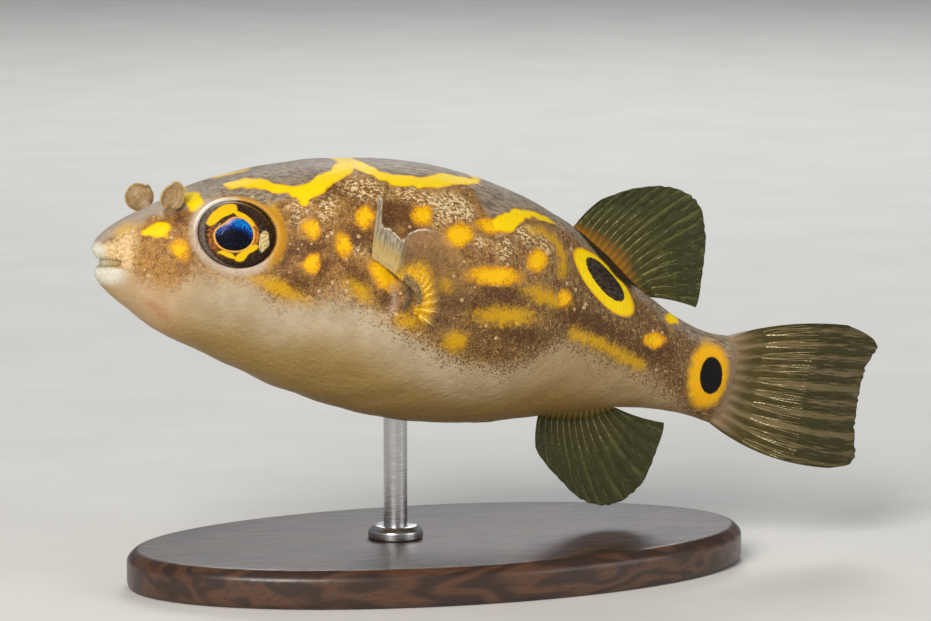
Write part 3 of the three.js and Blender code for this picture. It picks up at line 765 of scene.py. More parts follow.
def stripe_field(left, stripe):
    """How far inside a stripe each point is; its half width changes from knot to knot."""
    knots = np.asarray(stripe, float)
    line = line_points(knots[:, :2])
    halves = np.interp(np.linspace(0, len(knots) - 1, len(line)), np.arange(len(knots)), knots[:, 2])
    best = np.full(left.shape[:-1], -3.0)
    for spot, half in zip(line, halves):
        best = np.maximum(best, half - np.linalg.norm(left - spot, axis=-1))
    return best


def several(field, left, shapes):
    """The deepest of several shapes' fields."""
    return np.max([field(left, shape) for shape in shapes], axis=0)


def skin_masks(base, angle, progress):
    """The skin's markings, each as a field that the finish reads."""
    left = to_left(base)
    warped = left + 0.10 * np.stack([ripple(base, 1.1, 9, 40 + k) for k in range(3)], -1)
    x = base[..., 0]
    girth = np.maximum(smooth(BODY, HALF, x) * math.pi / 180 * 1.15, 0.03)
    lx, _, lz = np.moveaxis(left, -1, 0)
    upper_lip = (1 - step(lx, -0.6, 0.9)) * (1 - step(lz, 1.2, 2.2)) * (lz > 0)
    lower_lip = (1 - step(lx, 0.5, 3.0)) * (1 - step(-lz, 0.8, 2.3)) * (lz <= 0)
    crown = np.where(base[..., 1] > -0.25, stripe_field(warped, CROWN_STRIPE), -3.0)
    stripes = np.maximum(several(stripe_field, warped, STRIPES), crown)
    dull_stripes = several(stripe_field, warped, DULL_STRIPES)
    back = (smooth(BACK_EDGE, 1, x) - angle) * girth
    belly = (angle - smooth(BELLY_EDGE, 1, x)) * girth
    blush = line_distance(warped, line_points(THROAT_STREAK))
    (ring, ink), (tail_ring, tail_ink) = EYESPOTS
    return {
        "crisp": np.maximum(several(spot_field, warped, CRISP_SPOTS), stripes),
        "soft": several(spot_field, warped, SOFT_SPOTS),
        "dull": np.maximum(several(spot_field, warped, DULL_SPOTS), dull_stripes),
        "smear": spot_field(warped, SNOUT_SMEAR),
        "patch": several(spot_field, warped, DARK_PATCHES),
        "flecked": several(spot_field, warped, FLECKED),
        "dotted": several(spot_field, warped, DOTTED),
        "ring": spot_field(left, ring),
        "ink": spot_field(left, ink),
        "tail_ring": spot_field(warped, tail_ring),
        "tail_ink": spot_field(left, tail_ink),
        "belly": belly,
        "back": back,
        "lip": (progress > -0.6) * (upper_lip + lower_lip),
        "muzzle": (progress > 0) * (1 - step(lx, 1.5, 3.0)) * (1 - step(back, -0.4, 0.3)),
        "gum": step(-progress, -0.05, 0.3),
        "throat": 0.3 * bell(blush, 1.5) + 0.7 * bell(blush, 0.4),
        "rear": step(x, 24.0, 44.0),
        "peppered": step(x, 3.0, 4.5) * (0.4 + 0.25 * step(x, 11.0, 14.0) + 0.35 * step(x, 18.0, 26.0)),
        "tail_end": step(x, 55.8, 57.4),
        # painted shade on the lower flank behind the pectoral fin
        "low": step(x, 24.5, 29.0) * span(belly, -7.0, -4.0, -1.0, 1.0),
        "cheek": 1 - step(x, 4.5, 9.5),
    }


def lid_masks(radius, turn):
    """How far out of the lids' opening a point is, and which way round the gold, the painted highlight and
    the glow lie.
    """
    return {
        "lid": radius,
        "lid_gold": step(np.cos(turn - 0.85), -0.1, 0.5),
        "lid_highlight": step(np.cos(turn - 2.45), 0.6, 0.97),
        "lid_glow": step(np.cos(turn + 0.2), 0.35, 0.9),
    }


def add_skin():
    """One skin over the lips, head, trunk and tail stalk."""
    base, angle, progress = skin_grid()
    for side in SIDES.values():
        base = crowd_lids(base, side)
    normals = grid_normals(base)
    points, folds = shape_details(base, normals, progress)
    texture = ripple(base, 0.9, 12, 3) * 0.010 + ripple(base, 3.5, 8, 4) * 0.03
    points = points + (texture * (progress >= 1))[..., None] * normals
    radius, turn = np.full(angle.shape, FAR), np.zeros(angle.shape)
    for side in SIDES.values():
        points, ring, about = shape_orbit(points, side)
        turn = np.where(ring < radius, about, turn)
        radius = np.minimum(radius, ring)
    rows = len(base)
    front_quads, front_tris = seam_cap(0, SKIN_COLUMNS, flip=False)
    end_quads, end_tris = seam_cap((rows - 1) * SKIN_COLUMNS, SKIN_COLUMNS, flip=True)
    piece = make_piece(
        "skin", place(points),
        np.concatenate([grid_quads(rows, SKIN_COLUMNS, wrap=True), front_quads, end_quads]),
        np.concatenate([front_tris, end_tris]),
        stands_for=("head", "trunk", "tail_stalk", "upper_lip", "lower_lip"), finish="skin",
    )
    masks = {**skin_masks(base, angle, progress), **folds, **lid_masks(radius, turn)}
    masks = {name: np.clip(values, -FAR, FAR).ravel() for name, values in masks.items()}
    set_bake_map(piece, rows)
    dress(piece, skin_finish(), **masks, fish=base.reshape(-1, 3))


def skin_finish():
    f = Finish("puffer_skin")
    fish = f.vector()
    fine = f.noise(fish, 9.0, 3.0)
    grain = f.noise(fish, 4.2, 4.0, 0.6)
    cloud = f.noise(fish, 0.55, 3.0)
    mottle = f.noise(fish, 1.5, 3.0, 0.6)
    streaks = f.noise(f.stretch(fish, (0.5, 3.4, 3.4)), 1.6, 4.0, 0.6)
    folds = f.noise(f.stretch(fish, (3.0, 0.7, 0.5)), 1.8, 3.0, 0.6)
    fuzz, speckle, smudge = fine - 0.5, grain - 0.5, mottle - 0.5
    belly, rear, cheek = f.masks("belly", "rear", "cheek")

    # brown flanks, lighter on the cheek, greyer behind and on the back
    brown = mottle.shades(0.36, 0.64, (98, 56, 22), (168, 120, 58))
    brown.coat(cloud.rise(0.42, 0.66, 0.0, 0.5), (184, 138, 64))
    brown.coat(cheek * 0.6, (184, 132, 66))
    mauve = folds.shades(0.4, 0.62, (96, 70, 42), (150, 124, 92))
    brown.coat(rear * 0.75, mauve)
    brown.coat(grain.rise(0.5, 0.68, 0.0, 0.5), (80, 48, 16))
    patch = f.mask("patch") + smudge * 2.2
    brown.coat(patch.rise(-0.6, 0.7, 0.0, 0.86), (82, 44, 20))
    calm = patch.rise(-0.5, 0.7, 0.5, 0.18)
    # painted shade darkens the lower flank behind the pectoral fin
    brown.coat(f.mask("low") * 0.5, (68, 46, 16))
    blots = f.noise(fish, 2.4, 3.0, 0.65)
    brown.coat(blots.rise(0.52, 0.64, 0.0, 0.55), (84, 48, 20))
    brown.coat(blots.rise(0.44, 0.34) * calm, (200, 154, 84))
    brown.coat(fine.rise(0.54, 0.64, 0.0, 0.45), (64, 36, 12))
    brown.coat(fine.rise(0.44, 0.36) * calm, (218, 182, 122))
    grey = streaks.shades(0.36, 0.64, (104, 90, 78), (164, 146, 122))
    # painted light: the grey is paler on the head, where the light falls on its front, with a painted wet
    # sheen
    grey.coat(cheek * 0.75, (188, 173, 156))
    back = f.mask("back") + fuzz * 1.2 + smudge * 1.6
    skin = back.shades(-0.55, 0.55, brown, grey)

    # cream flecks, dark-dotted cream and pale prickle dots
    fleck_net = f.noise(f.stretch(fish, (1.0, 1.6, 1.6)), 2.6, 2.0, 0.6, 0.6)
    fleck = fleck_net.rise(0.5, 0.58) * f.mask("flecked").rise(-0.6, 0.7)
    skin.coat(fleck * 0.9, (238, 215, 168))
    holes = f.cells(fish, 2.6).rise(0.3, 0.45) * grain.rise(0.42, 0.54)
    dotted = holes * (f.mask("dotted") + fuzz * 2.0).rise(-0.4, 0.5)
    skin.coat(dotted * 0.9, (230, 208, 162))
    dots = f.cells(fish, 0.85)
    skin.coat(dots.rise(0.1, 0.18, 0.75, 0.0), (220, 186, 138))

    # pale muzzle and belly, with a speckled edge between belly and flank; the belly is darkened toward its
    # underside and its rear with painted shade
    tan = grain.shades(0.36, 0.64, (204, 164, 106), (236, 210, 162))
    tan.coat(fine.rise(0.54, 0.64, 0.0, 0.5), (184, 140, 78))
    muzzle = f.mask("muzzle") + speckle * 1.2
    skin.coat(muzzle.rise(0.0, 1.15), tan)
    white = cloud.shades(0.3, 0.7, (174, 155, 124), (190, 172, 143))
    # painted shade: the belly's white darkens and yellows toward the underside and the rear
    white.coat(belly.rise(1.2, 6.0, 0.0, 0.9), (156, 126, 68))
    white.coat(rear * 0.6, (154, 122, 68))
    white.coat(cheek * 0.45, (208, 168, 120))
    spread = belly + speckle * 3.0 + fuzz * 2.4
    skin.coat(spread.rise(-0.8, 1.1), white)
    strewn = belly + smudge * 5.0
    limit = strewn.rise(-0.2, 3.2, 0.4, 0.0) * belly.rise(-3.4, -1.0, 0.3, 1.0) * f.mask("peppered")
    pepper = (limit - f.cells(fish, 4.3)).rise(-0.04, 0.06)
    skin.coat(pepper * 0.75, (80, 54, 20))
    skin.coat(f.mask("throat") * 0.55, (178, 114, 70))
    smear = f.mask("smear") + fuzz * 1.2
    skin.coat(smear.rise(-0.5, 0.5, 0.0, 0.8), (222, 178, 84))

    # yellow markings: crisp lines, soft spots and dull smudges
    dull = f.mask("dull") + fuzz * 1.6 + speckle * 1.6
    skin.coat(dull.rise(-0.5, 0.5, 0.0, 0.92), (208, 158, 2))
    soft = f.mask("soft") + fuzz * 1.1
    gold = (soft + speckle * 1.4).shades(0.0, 0.5, (206, 138, 0), (241, 187, 0))
    skin.coat(soft.rise(-0.16, 0.18), gold)
    crisp = f.mask("crisp").or_more(f.mask("ring")) + fuzz * 0.22
    lemon = crisp.shades(0.0, 0.22, (236, 172, 0), (248, 212, 0))
    skin.coat(crisp.rise(-0.08, 0.08), lemon)
    tail_ring = f.mask("tail_ring") + fuzz * 0.9
    skin.coat(tail_ring.rise(-0.4, 0.55), (234, 172, 8))
    ink = f.mask("ink") + fuzz * 0.2
    charcoal = streaks.shades(0.4, 0.6, (26, 20, 16), (72, 60, 48))
    skin.coat(ink.rise(-0.04, 0.05), charcoal)
    tail_ink = f.mask("tail_ink") + fuzz * 0.15
    skin.coat(tail_ink.rise(-0.05, 0.06), (7, 4, 2))
    skin.coat(f.mask("tail_end") * tail_ring.rise(-0.5, 0.3, 0.8, 0.0), (146, 122, 94))

    # lids: a pale rim in front and below, gold above and behind, with a soft gold glow; a painted
    # highlight on the rim's upper front, and a dark line of painted shade where the skin dips under the
    # lids
    lid = f.mask("lid") + fuzz * 0.05
    gold_side = f.mask("lid_gold")
    glow = lid + fuzz * 0.1 - f.mask("lid_glow") * 0.1 - 0.07
    amber = lid.shades(1.08, 1.34, (200, 140, 10), (146, 86, 2))
    skin.coat(gold_side * glow.rise(0.98, 1.14, 0.95, 0.0), amber)
    rim = gold_side.between((206, 186, 165), (206, 154, 56))
    rim.coat(grain.rise(0.4, 0.6, 0.0, 0.4), (160, 130, 106))
    # painted highlight on the upper front of the lid's rim
    rim.coat(f.mask("lid_highlight") * lid.rise(1.14, 1.08), (250, 244, 232))
    skin.coat((lid + gold_side * 0.12).rise(1.1, 1.3, 0.95, 0.0), rim)
    # painted shade in the gap where the skin dips under the lids
    skin.coat(lid.rise(0.985, 1.015, 0.95, 0.0), (34, 24, 18))

    # lips and mouth, folds, and painted shade in the creases and the pectoral fin's axil
    pale_lip = grain.shades(0.35, 0.7, (226, 223, 208), (208, 200, 180))
    lip = f.mask("lip") + fuzz * 0.4
    skin.coat(lip.rise(0.1, 0.95), pale_lip)
    skin.coat(f.mask("fold") * 0.6, (236, 208, 168))
    skin.coat(f.mask("gum"), (198, 184, 158))
    # painted shade in the pectoral fin's axil
    skin.coat(f.mask("axil") * 0.85, (74, 68, 62))
    skin.coat(f.mask("pad_rim") * fine.rise(0.44, 0.56, 0.1, 0.9), (216, 184, 158))
    # painted shade in the creases
    skin.coat(f.mask("crease_shade") * 0.94, (38, 21, 8))

    wrinkle = f.noise(f.stretch(fish, (1.4, 1.0, 1.6)), 2.4, 4.0, 0.6)
    height = wrinkle * 1.8 + fine * 0.5 + folds * (rear * 1.2) + dots.rise(0.05, 0.2, 0.7, 0.0)
    f.set(Subsurface_Weight=0.1, Subsurface_Scale=0.8 * MM, Subsurface_Radius=(1.0, 0.55, 0.3))
    f.set(Roughness=grain.rise(0.3, 0.75, 0.38, 0.55), Specular_IOR_Level=0.18)
    return f.set(Base_Color=skin, Normal=f.bump(height, 0.06, 0.9))


# ---- Eyes ------------------------------------------------------------

EYE_RINGS, EYE_TURNS = (150, 240) if DENSE else (60, 96)
PUPIL_AT = (-0.27, -0.15)           # tailward and up from the middle of the eye
PUPIL_RADIUS = 1.44
# Gold round the pupil: from and to (degrees), outer edge, inner edge, how much it wanders
GOLD = [
    (92, 170, 2.66, 1.68, 0.08), (32, 101, 2.0, 1.5, 0.05),
    (-78, -14, 2.14, 1.5, 0.08), (-124, -75, 2.0, 1.5, 0.08),
]
IRIS_AT, IRIS_HALF = (0.28, 0.02), (2.95, 2.66)
LENS_HEIGHT = 0.42
EYE_BACK = ((0.96, -0.5), (0.85, -1.0), (0.6, -1.5), (0.3, -1.75))  # share of the rim, outward
CORNEA_RINGS, CORNEA_TURNS = (70, 160) if DENSE else (30, 64)
CORNEA_LIFT, CORNEA_SHRINK, CORNEA_THICK = 0.01, 0.955, 0.05
CORNEA_GLOSS, CORNEA_IOR, CORNEA_SHINE = 0.03, 1.13, 0.5


def pupil_edge(turn):
    """Edge of the pupil: a drop that points forward, flat above its point."""
    oval = PUPIL_RADIUS + 0.14 * np.cos(2 * (turn - 0.17))
    return oval - 0.3 * facing(turn, 2.53, 0.5) + 0.12 * facing(turn, 1.3, 0.6)


def from_pupil(a, b):
    """Distance and direction from the pupil's middle, and its edge that way."""
    da, db = a - PUPIL_AT[0], b - PUPIL_AT[1]
    turn = np.arctan2(db, da)
    return np.hypot(da, db), turn, pupil_edge(turn)


def iris_height(a, b):
    """The iris is a low dome under the cornea, with the lens pushing through the pupil."""
    out, _, edge = from_pupil(a, b)
    reach = out / edge
    lens = LENS_HEIGHT * np.sqrt(np.clip(1 - (reach / 1.02) ** 2, 0, 1))
    lip = 0.05 * bell(reach - 1.06, 0.06) - 0.05 * bell(reach - 1.0, 0.035)
    return iris_dome(a, b) + lens + lip


def eye_masks(a, b):
    """The eye's markings, with a painted glint on the pupil and painted shade round the eyeball's edge,
    each rising from 0 to 1 across its edge.
    """
    out, turn, edge = from_pupil(a, b)
    dish = np.stack([a, b, 0 * a], -1)
    wander = ripple(dish, 0.9, 7, 21)
    gold = np.zeros_like(a)
    for start, end, far, close, loose in GOLD:
        middle, half = math.radians((start + end) / 2), math.radians((end - start) / 2)
        away = np.abs(np.angle(np.exp(1j * (turn - middle)))) * out
        sides = half * out - away + 0.08 * wander
        near = np.maximum(edge + 0.1, close + 0.4 * (away / out / half) ** 4)
        band = np.minimum(far + loose * wander - out, out - near)
        gold = np.maximum(gold, step(np.minimum(sides, band), -0.05, 0.07))
    disc = 1 - np.hypot((a - IRIS_AT[0]) / IRIS_HALF[0], (b - IRIS_AT[1]) / IRIS_HALF[1])
    cream = 1 - np.hypot((a - 2.28 + 0.06 * wander) / 0.42, (b + 0.08) / (0.86 + 0.1 * wander))
    blue_from = np.hypot((a - PUPIL_AT[0] - 0.1) / 1.5, (b - PUPIL_AT[1] + 0.78) / 1.12)
    return {
        "pupil": step(edge - out, -0.03, 0.03),
        "ring": bell(out - edge - 0.07, 0.075),
        "gold": gold,
        "rust": (1 - step(out, 2.0, 2.35)) * facing(turn, -2.75, 0.75),
        "copper": (1 - step(out - edge, 0.42, 0.6)) * facing(turn, 0.1, 0.85),
        "cream": step(cream, -0.08, 0.12),
        "disc": step(disc, -0.03, 0.02),
        "blue": step(blue_from + 0.06 * wander, 0.75, 1.6),
        "glint": bell(edge - out, 0.2) * facing(turn, 2.15, 0.4),
        "shade": step(np.sqrt(1 - eye_inside(a, b)), 0.86, 0.97),
        "dish": dish,
    }


def eye_rings(height, rings, turns, far):
    """Polar grid over the eye out to the share far of its width, in the eye's own frame."""
    share = np.linspace(0, far, rings + 1)[1:, None]
    turn = full_turn(turns)
    a, b = share * EYE_RADII[0] * np.cos(turn), share * EYE_RADII[2] * np.sin(turn)
    return np.stack([a, height(a, b), b], -1)


def place_eye(points, side):
    middle, axes = eye_frame(side)
    return place(middle + points @ axes)


def add_eyeball(name, side):
    front = eye_rings(iris_height, EYE_RINGS, EYE_TURNS, 0.97)
    back = [front[-1] * (k, 1, k) + (0, n, 0) for k, n in EYE_BACK]
    rings = np.concatenate([front, np.array(back)])[:, ::side]
    eye = loft(place_eye(rings, side), "eyeball_" + name, stands_for=("eye_" + name,), finish="eye")
    a, b = (np.append(rings[..., k].ravel(), (0.0, 0.0)) for k in (0, 2))
    dress(eye, IRIS, **eye_masks(a, b))


def add_cornea(name, side):
    """Thin clear dome over the iris."""
    top = eye_rings(eye_height, CORNEA_RINGS, CORNEA_TURNS, 0.985) + (0, CORNEA_LIFT, 0)
    under = eye_rings(eye_height, CORNEA_RINGS, CORNEA_TURNS, 0.965) * (1, CORNEA_SHRINK, 1)
    rings = np.concatenate([top, under[::-1] - (0, CORNEA_THICK, 0)])[:, ::side]
    dress(loft(place_eye(rings, side), "cornea_" + name, finish="eye"), CORNEA)


def iris_finish():
    f = Finish("puffer_iris")
    dish = f.vector("dish")
    fine = f.noise(dish, 11.0)
    speck = f.noise(dish, 5.0, 3.0, 0.65)
    dark = speck.shades(0.4, 0.62, (26, 17, 10), (70, 50, 32))
    rust = speck.shades(0.4, 0.6, (90, 50, 20), (186, 112, 44))
    eye = (f.mask("rust") * 0.85).between(dark, rust)
    eye.coat(f.mask("copper") * speck.rise(0.36, 0.56, 0.5, 0.95), (196, 120, 36))
    eye.coat(f.mask("gold"), fine.shades(0.32, 0.52, (204, 140, 4), (242, 196, 8)))
    eye.coat(f.mask("cream"), speck.shades(0.4, 0.6, (176, 150, 92), (224, 204, 152)))
    eye.coat(f.mask("ring"), fine.shades(0.4, 0.6, (228, 150, 40), (255, 210, 110)))
    sclera = speck.shades(0.35, 0.65, (78, 64, 54), (124, 106, 92))
    eye = f.mask("disc").between(sclera, eye)
    spark = f.mask("blue") + (f.noise(dish, 6.0, 2.0) - 0.5) * 2.4
    blue = spark.shades(0.15, 0.62, (3, 2, 3), (2, 50, 128))
    blue.coat(spark.rise(0.7, 1.2), (6, 134, 222))
    blue.coat(f.mask("glint") * 0.85, (236, 190, 226))
    eye.coat(f.mask("pupil"), blue)
    # painted shade round the eyeball's edge, under the lids
    eye.coat(f.mask("shade") * 0.85, (30, 22, 18))
    f.set(Base_Color=eye, Roughness=0.55, Specular_IOR_Level=0.1)
    return f.set(Normal=f.bump(speck, 0.03, 0.6))


def cornea_finish():
    """Clear and glossy: most of it lets light straight through."""
    f = Finish("puffer_cornea").set(Base_Color=(250, 250, 250))
    clear = f.node("BsdfTransparent", {})
    gloss = f.node("BsdfGlossy", {"Roughness": CORNEA_GLOSS, "Color": (255, 255, 255)})
    shine = f.node("Fresnel", {"IOR": CORNEA_IOR}) * CORNEA_SHINE
    glass = f.node("MixShader", {0: shine, 1: clear, 2: gloss})
    f.feed(f.tree.nodes["Material Output"].inputs["Surface"], glass)
    return f


# ---- Beak ------------------------------------------------------------

TOOTH_HALF, TOOTH_FRONT, TOOTH_BACK = 1.7, 0.2, 1.75
TOOTH_WALL, TOOTH_TALL, SEAM_DROP = 0.5, 0.8, 0.16
TOOTH_ARC, TOOTH_STEPS, TOOTH_TURNS = 86, 121 if DENSE else 41, 40


def add_beak(name, up):
    """Ivory plate behind a lip, with the seam down its middle that pufferfish have."""
    turn = full_turn(TOOTH_TURNS)
    c, s = np.cos(turn), np.sin(turn)
    half_wall, half_tall = TOOTH_WALL / 2, TOOTH_TALL / 2
    rings = []
    for a in np.radians(np.linspace(-TOOTH_ARC, TOOTH_ARC, TOOTH_STEPS)):
        seam = 0.07 * math.exp(-((a / 0.05) ** 2))
        nick = 0.05 * math.exp(-((a / 0.09) ** 2)) + 0.012 * math.sin(17 * a)
        x, y = TOOTH_BACK - (TOOTH_BACK - TOOTH_FRONT) * math.cos(a), TOOTH_HALF * math.sin(a)
        depth = -half_wall + half_wall * np.sign(c) * np.abs(c) ** 0.7 * (0.72 + 0.28 * s * up) - seam
        height = nick + half_tall + half_tall * np.sign(s) * np.abs(s) ** 0.6
        level = MOUTH_HEIGHT + 0.85 * MOUTH_LIFT * (y / MOUTH_HALF) ** 2 - SEAM_DROP
        rings.append(np.stack([x - depth * math.cos(a), y + depth * math.sin(a), level + up * height], -1))
    rings = np.array(rings)[:, ::up]
    beak = loft(place(rings), "beak_" + name, stands_for=("tooth_plate_" + name,), finish="tooth")
    dress(beak, IVORY, fish=np.concatenate([rings.reshape(-1, 3), rings[0, :1], rings[-1, -1:]]))


def ivory_finish():
    f = Finish("beak_ivory")
    fish = f.vector()
    ridge = f.noise(f.stretch(fish, (6, 6, 1.2)), 2.0)
    tone = ridge.shades(0.35, 0.65, (168, 160, 138), (206, 196, 172))
    across = f.node("SeparateXYZ", {0: fish}, 1).math("ABSOLUTE")
    # painted shade: the plate turns tan toward its sides, where they reach into the mouth's shaded corners
    tone.coat(across.rise(0.5, 1.5, 0.0, 0.85), (174, 146, 86))
    f.set(Base_Color=tone, Roughness=0.28, Normal=f.bump(ridge, 0.04, 0.7))
    return f.set(Subsurface_Weight=0.15, Subsurface_Scale=0.6 * MM, Coat_Weight=0.3, Coat_Roughness=0.1)


# ---- Nasal tentacles -------------------------------------------------

# foot, knee and lobes in the fish frame; each lobe has a middle, half width, half
# height, turn about the vertical and tip about the across axis (degrees)
TENTACLES = {
    "left": ((4.75, -2.05, 5.5), (4.6, -2.65, 6.0), [
        ((3.95, -2.9, 6.6), 0.7, 1.0, 12, 14), ((4.7, -2.8, 6.85), 0.68, 1.15, -28, -10)]),
    "right": ((4.3, 2.25, 4.9), (3.9, 2.8, 5.3), [
        ((3.45, 3.0, 5.75), 1.22, 1.2, -14, 20), ((4.0, 3.3, 6.0), 0.85, 0.95, 30, 0)]),
}
LOBE_HALF, LOBE_CUP, LOBE_DEEP = 0.17, 0.28, 0.7
LOBE_TURNS, LOBE_STEPS = 64, 16
STALK_RADII, STALK_FLAT = (0.66, 0.55, 0.48), 0.8
BRANCH_RADIUS, BRANCH_FLAT = 0.36, 0.55
TUBE_TURNS, TUBE_STEPS = 24, 14
MELT_VOXEL, MELT_PASSES = 0.06 if DENSE else 0.12, 5


def lobe_frame(lobe):
    """Axes of a lobe: across it, through it and up it."""
    turn, tip = math.radians(lobe[3]), math.radians(lobe[4])
    about_y = np.array([(math.cos(tip), 0, math.sin(tip)), (0, 1, 0), (-math.sin(tip), 0, math.cos(tip))])
    return turned(0, turn) @ about_y


def lobe_rings(lobe, side):
    """A cupped petal with a thick rim."""
    middle, wide, tall = np.array(lobe[0]), lobe[1], lobe[2]
    turn = full_turn(LOBE_TURNS)
    flare = 1 + 0.02 * np.sin(4 * turn + wide * 9)
    rings = []
    shares = np.sin(np.linspace(0.06, math.pi / 2, LOBE_STEPS))
    for sign, run in ((1, shares), (-1, shares[::-1][1:])):
        for r in run:
            rim = 0.75 + 0.5 * math.exp(-(((r - 0.86) / 0.16) ** 2))
            half = LOBE_HALF * rim * math.sqrt(max(1 - r**6, 0))
            through = side * LOBE_CUP * (r * r - 0.5) * wide + sign * half + 0 * turn
            across, up = wide * r * np.cos(turn) * flare, tall * r * np.sin(turn) * flare
            rings.append(middle + np.stack([across, through, up], -1) @ lobe_frame(lobe).T)
    return np.array(rings)


def tube_rings(path, radii, flat):
    """Rings round a bent path; flat squeezes them across the fish."""
    t = np.linspace(0, len(path) - 1, TUBE_STEPS)
    rows = np.column_stack([np.arange(len(path)), path, radii])
    middle = np.stack([smooth(rows, k, t) for k in (1, 2, 3)], -1)
    radius = smooth(rows, 4, t)
    turn = full_turn(TUBE_TURNS)[:, None]
    rings = []
    for k in range(TUBE_STEPS):
        way = middle[min(k + 1, TUBE_STEPS - 1)] - middle[max(k - 1, 0)]
        way /= np.linalg.norm(way)
        side = np.cross(way, (0, 1, 0))
        side /= np.linalg.norm(side)
        other = flat * np.cross(way, side)
        rings.append(middle[k] + radius[k] * (np.cos(turn) * side + np.sin(turn) * other))
    return np.array(rings)


def melt(parts):
    """Melts closed loose parts, in millimetres, into one smooth surface; returns points and quads."""
    points, quads, tris = join_runs(parts)
    mesh = bpy.data.meshes.new("loose")
    mesh.from_pydata(points.tolist(), [], quads.tolist() + tris.tolist())
    loose = link("loose", mesh)
    remesh = loose.modifiers.new("melt", "REMESH")
    remesh.mode = "VOXEL"
    remesh.voxel_size = MELT_VOXEL
    soften = loose.modifiers.new("soften", "SMOOTH")
    soften.factor = 0.5
    soften.iterations = MELT_PASSES
    done = bpy.data.meshes.new_from_object(loose.evaluated_get(bpy.context.evaluated_depsgraph_get()))
    out = np.empty(len(done.vertices) * 3, dtype=np.float32)
    done.vertices.foreach_get("co", out)
    corners = np.empty(len(done.loops), dtype=np.int32)
    done.loops.foreach_get("vertex_index", corners)
    bpy.data.objects.remove(loose)
    bpy.data.meshes.remove(mesh)
    bpy.data.meshes.remove(done)
    return out.reshape(-1, 3).astype(float), corners.reshape(-1, 4)


def add_tentacle(name, side):
    foot, knee, lobes = TENTACLES[name]
    foot, knee = np.array(foot), np.array(knee)
    sunk = foot - (knee - foot) * 0.6
    parts = [tube_rings([sunk, foot, knee], STALK_RADII, STALK_FLAT)]
    for lobe in lobes:
        parts.append(lobe_rings(lobe, side))
        radii = (BRANCH_RADIUS, BRANCH_RADIUS, 0.5 * lobe[1])
        parts.append(tube_rings([foot, knee, lobe[0]], radii, BRANCH_FLAT))
    points, quads = melt(parts)
    piece = make_piece("nasal_flap_" + name, place(points), quads,
                       stands_for=("nasal_tentacle_" + name,), finish="tentacle")
    reach = []
    for lobe in lobes:
        across, through, up = ((points - np.array(lobe[0])) @ lobe_frame(lobe)).T
        reach.append(np.hypot(across / lobe[1], up / lobe[2]) + FAR * (np.abs(through) > LOBE_DEEP))
    reach = np.min(reach, axis=0)
    stalk = 1 - step(np.linalg.norm(points - foot, axis=-1), 0.5, 1.5)
    edge, rim = bell(reach - 0.86, 0.12), bell(reach - 0.99, 0.08)
    dress(piece, FLAP, edge=edge, rim=rim, stalk=stalk, fish=points)


def flap_finish():
    f = Finish("nasal_flap")
    fish = f.vector()
    mottle = f.noise(fish, 2.2, 3.0, 0.6)
    fine = f.noise(fish, 9.0)
    tone = mottle.shades(0.35, 0.65, (150, 122, 82), (176, 148, 106))
    tone.coat(fine.rise(0.55, 0.75, 0.0, 0.2), (104, 80, 48))
    tone.coat(f.mask("edge") * 0.55, (112, 86, 50))
    tone.coat(f.mask("rim") * mottle.rise(0.35, 0.6, 0.45, 0.9), (214, 182, 112))
    tone.coat(f.mask("stalk") * 0.8, mottle.shades(0.4, 0.6, (150, 122, 92), (178, 154, 126)))
    f.set(Base_Color=tone, Roughness=0.4, Normal=f.bump(fine, 0.01, 0.5), Specular_IOR_Level=0.25)
    return f.set(Subsurface_Weight=0.3, Subsurface_Scale=0.6 * MM, Subsurface_Radius=(1.0, 0.6, 0.3))


# ---- Fins ------------------------------------------------------------

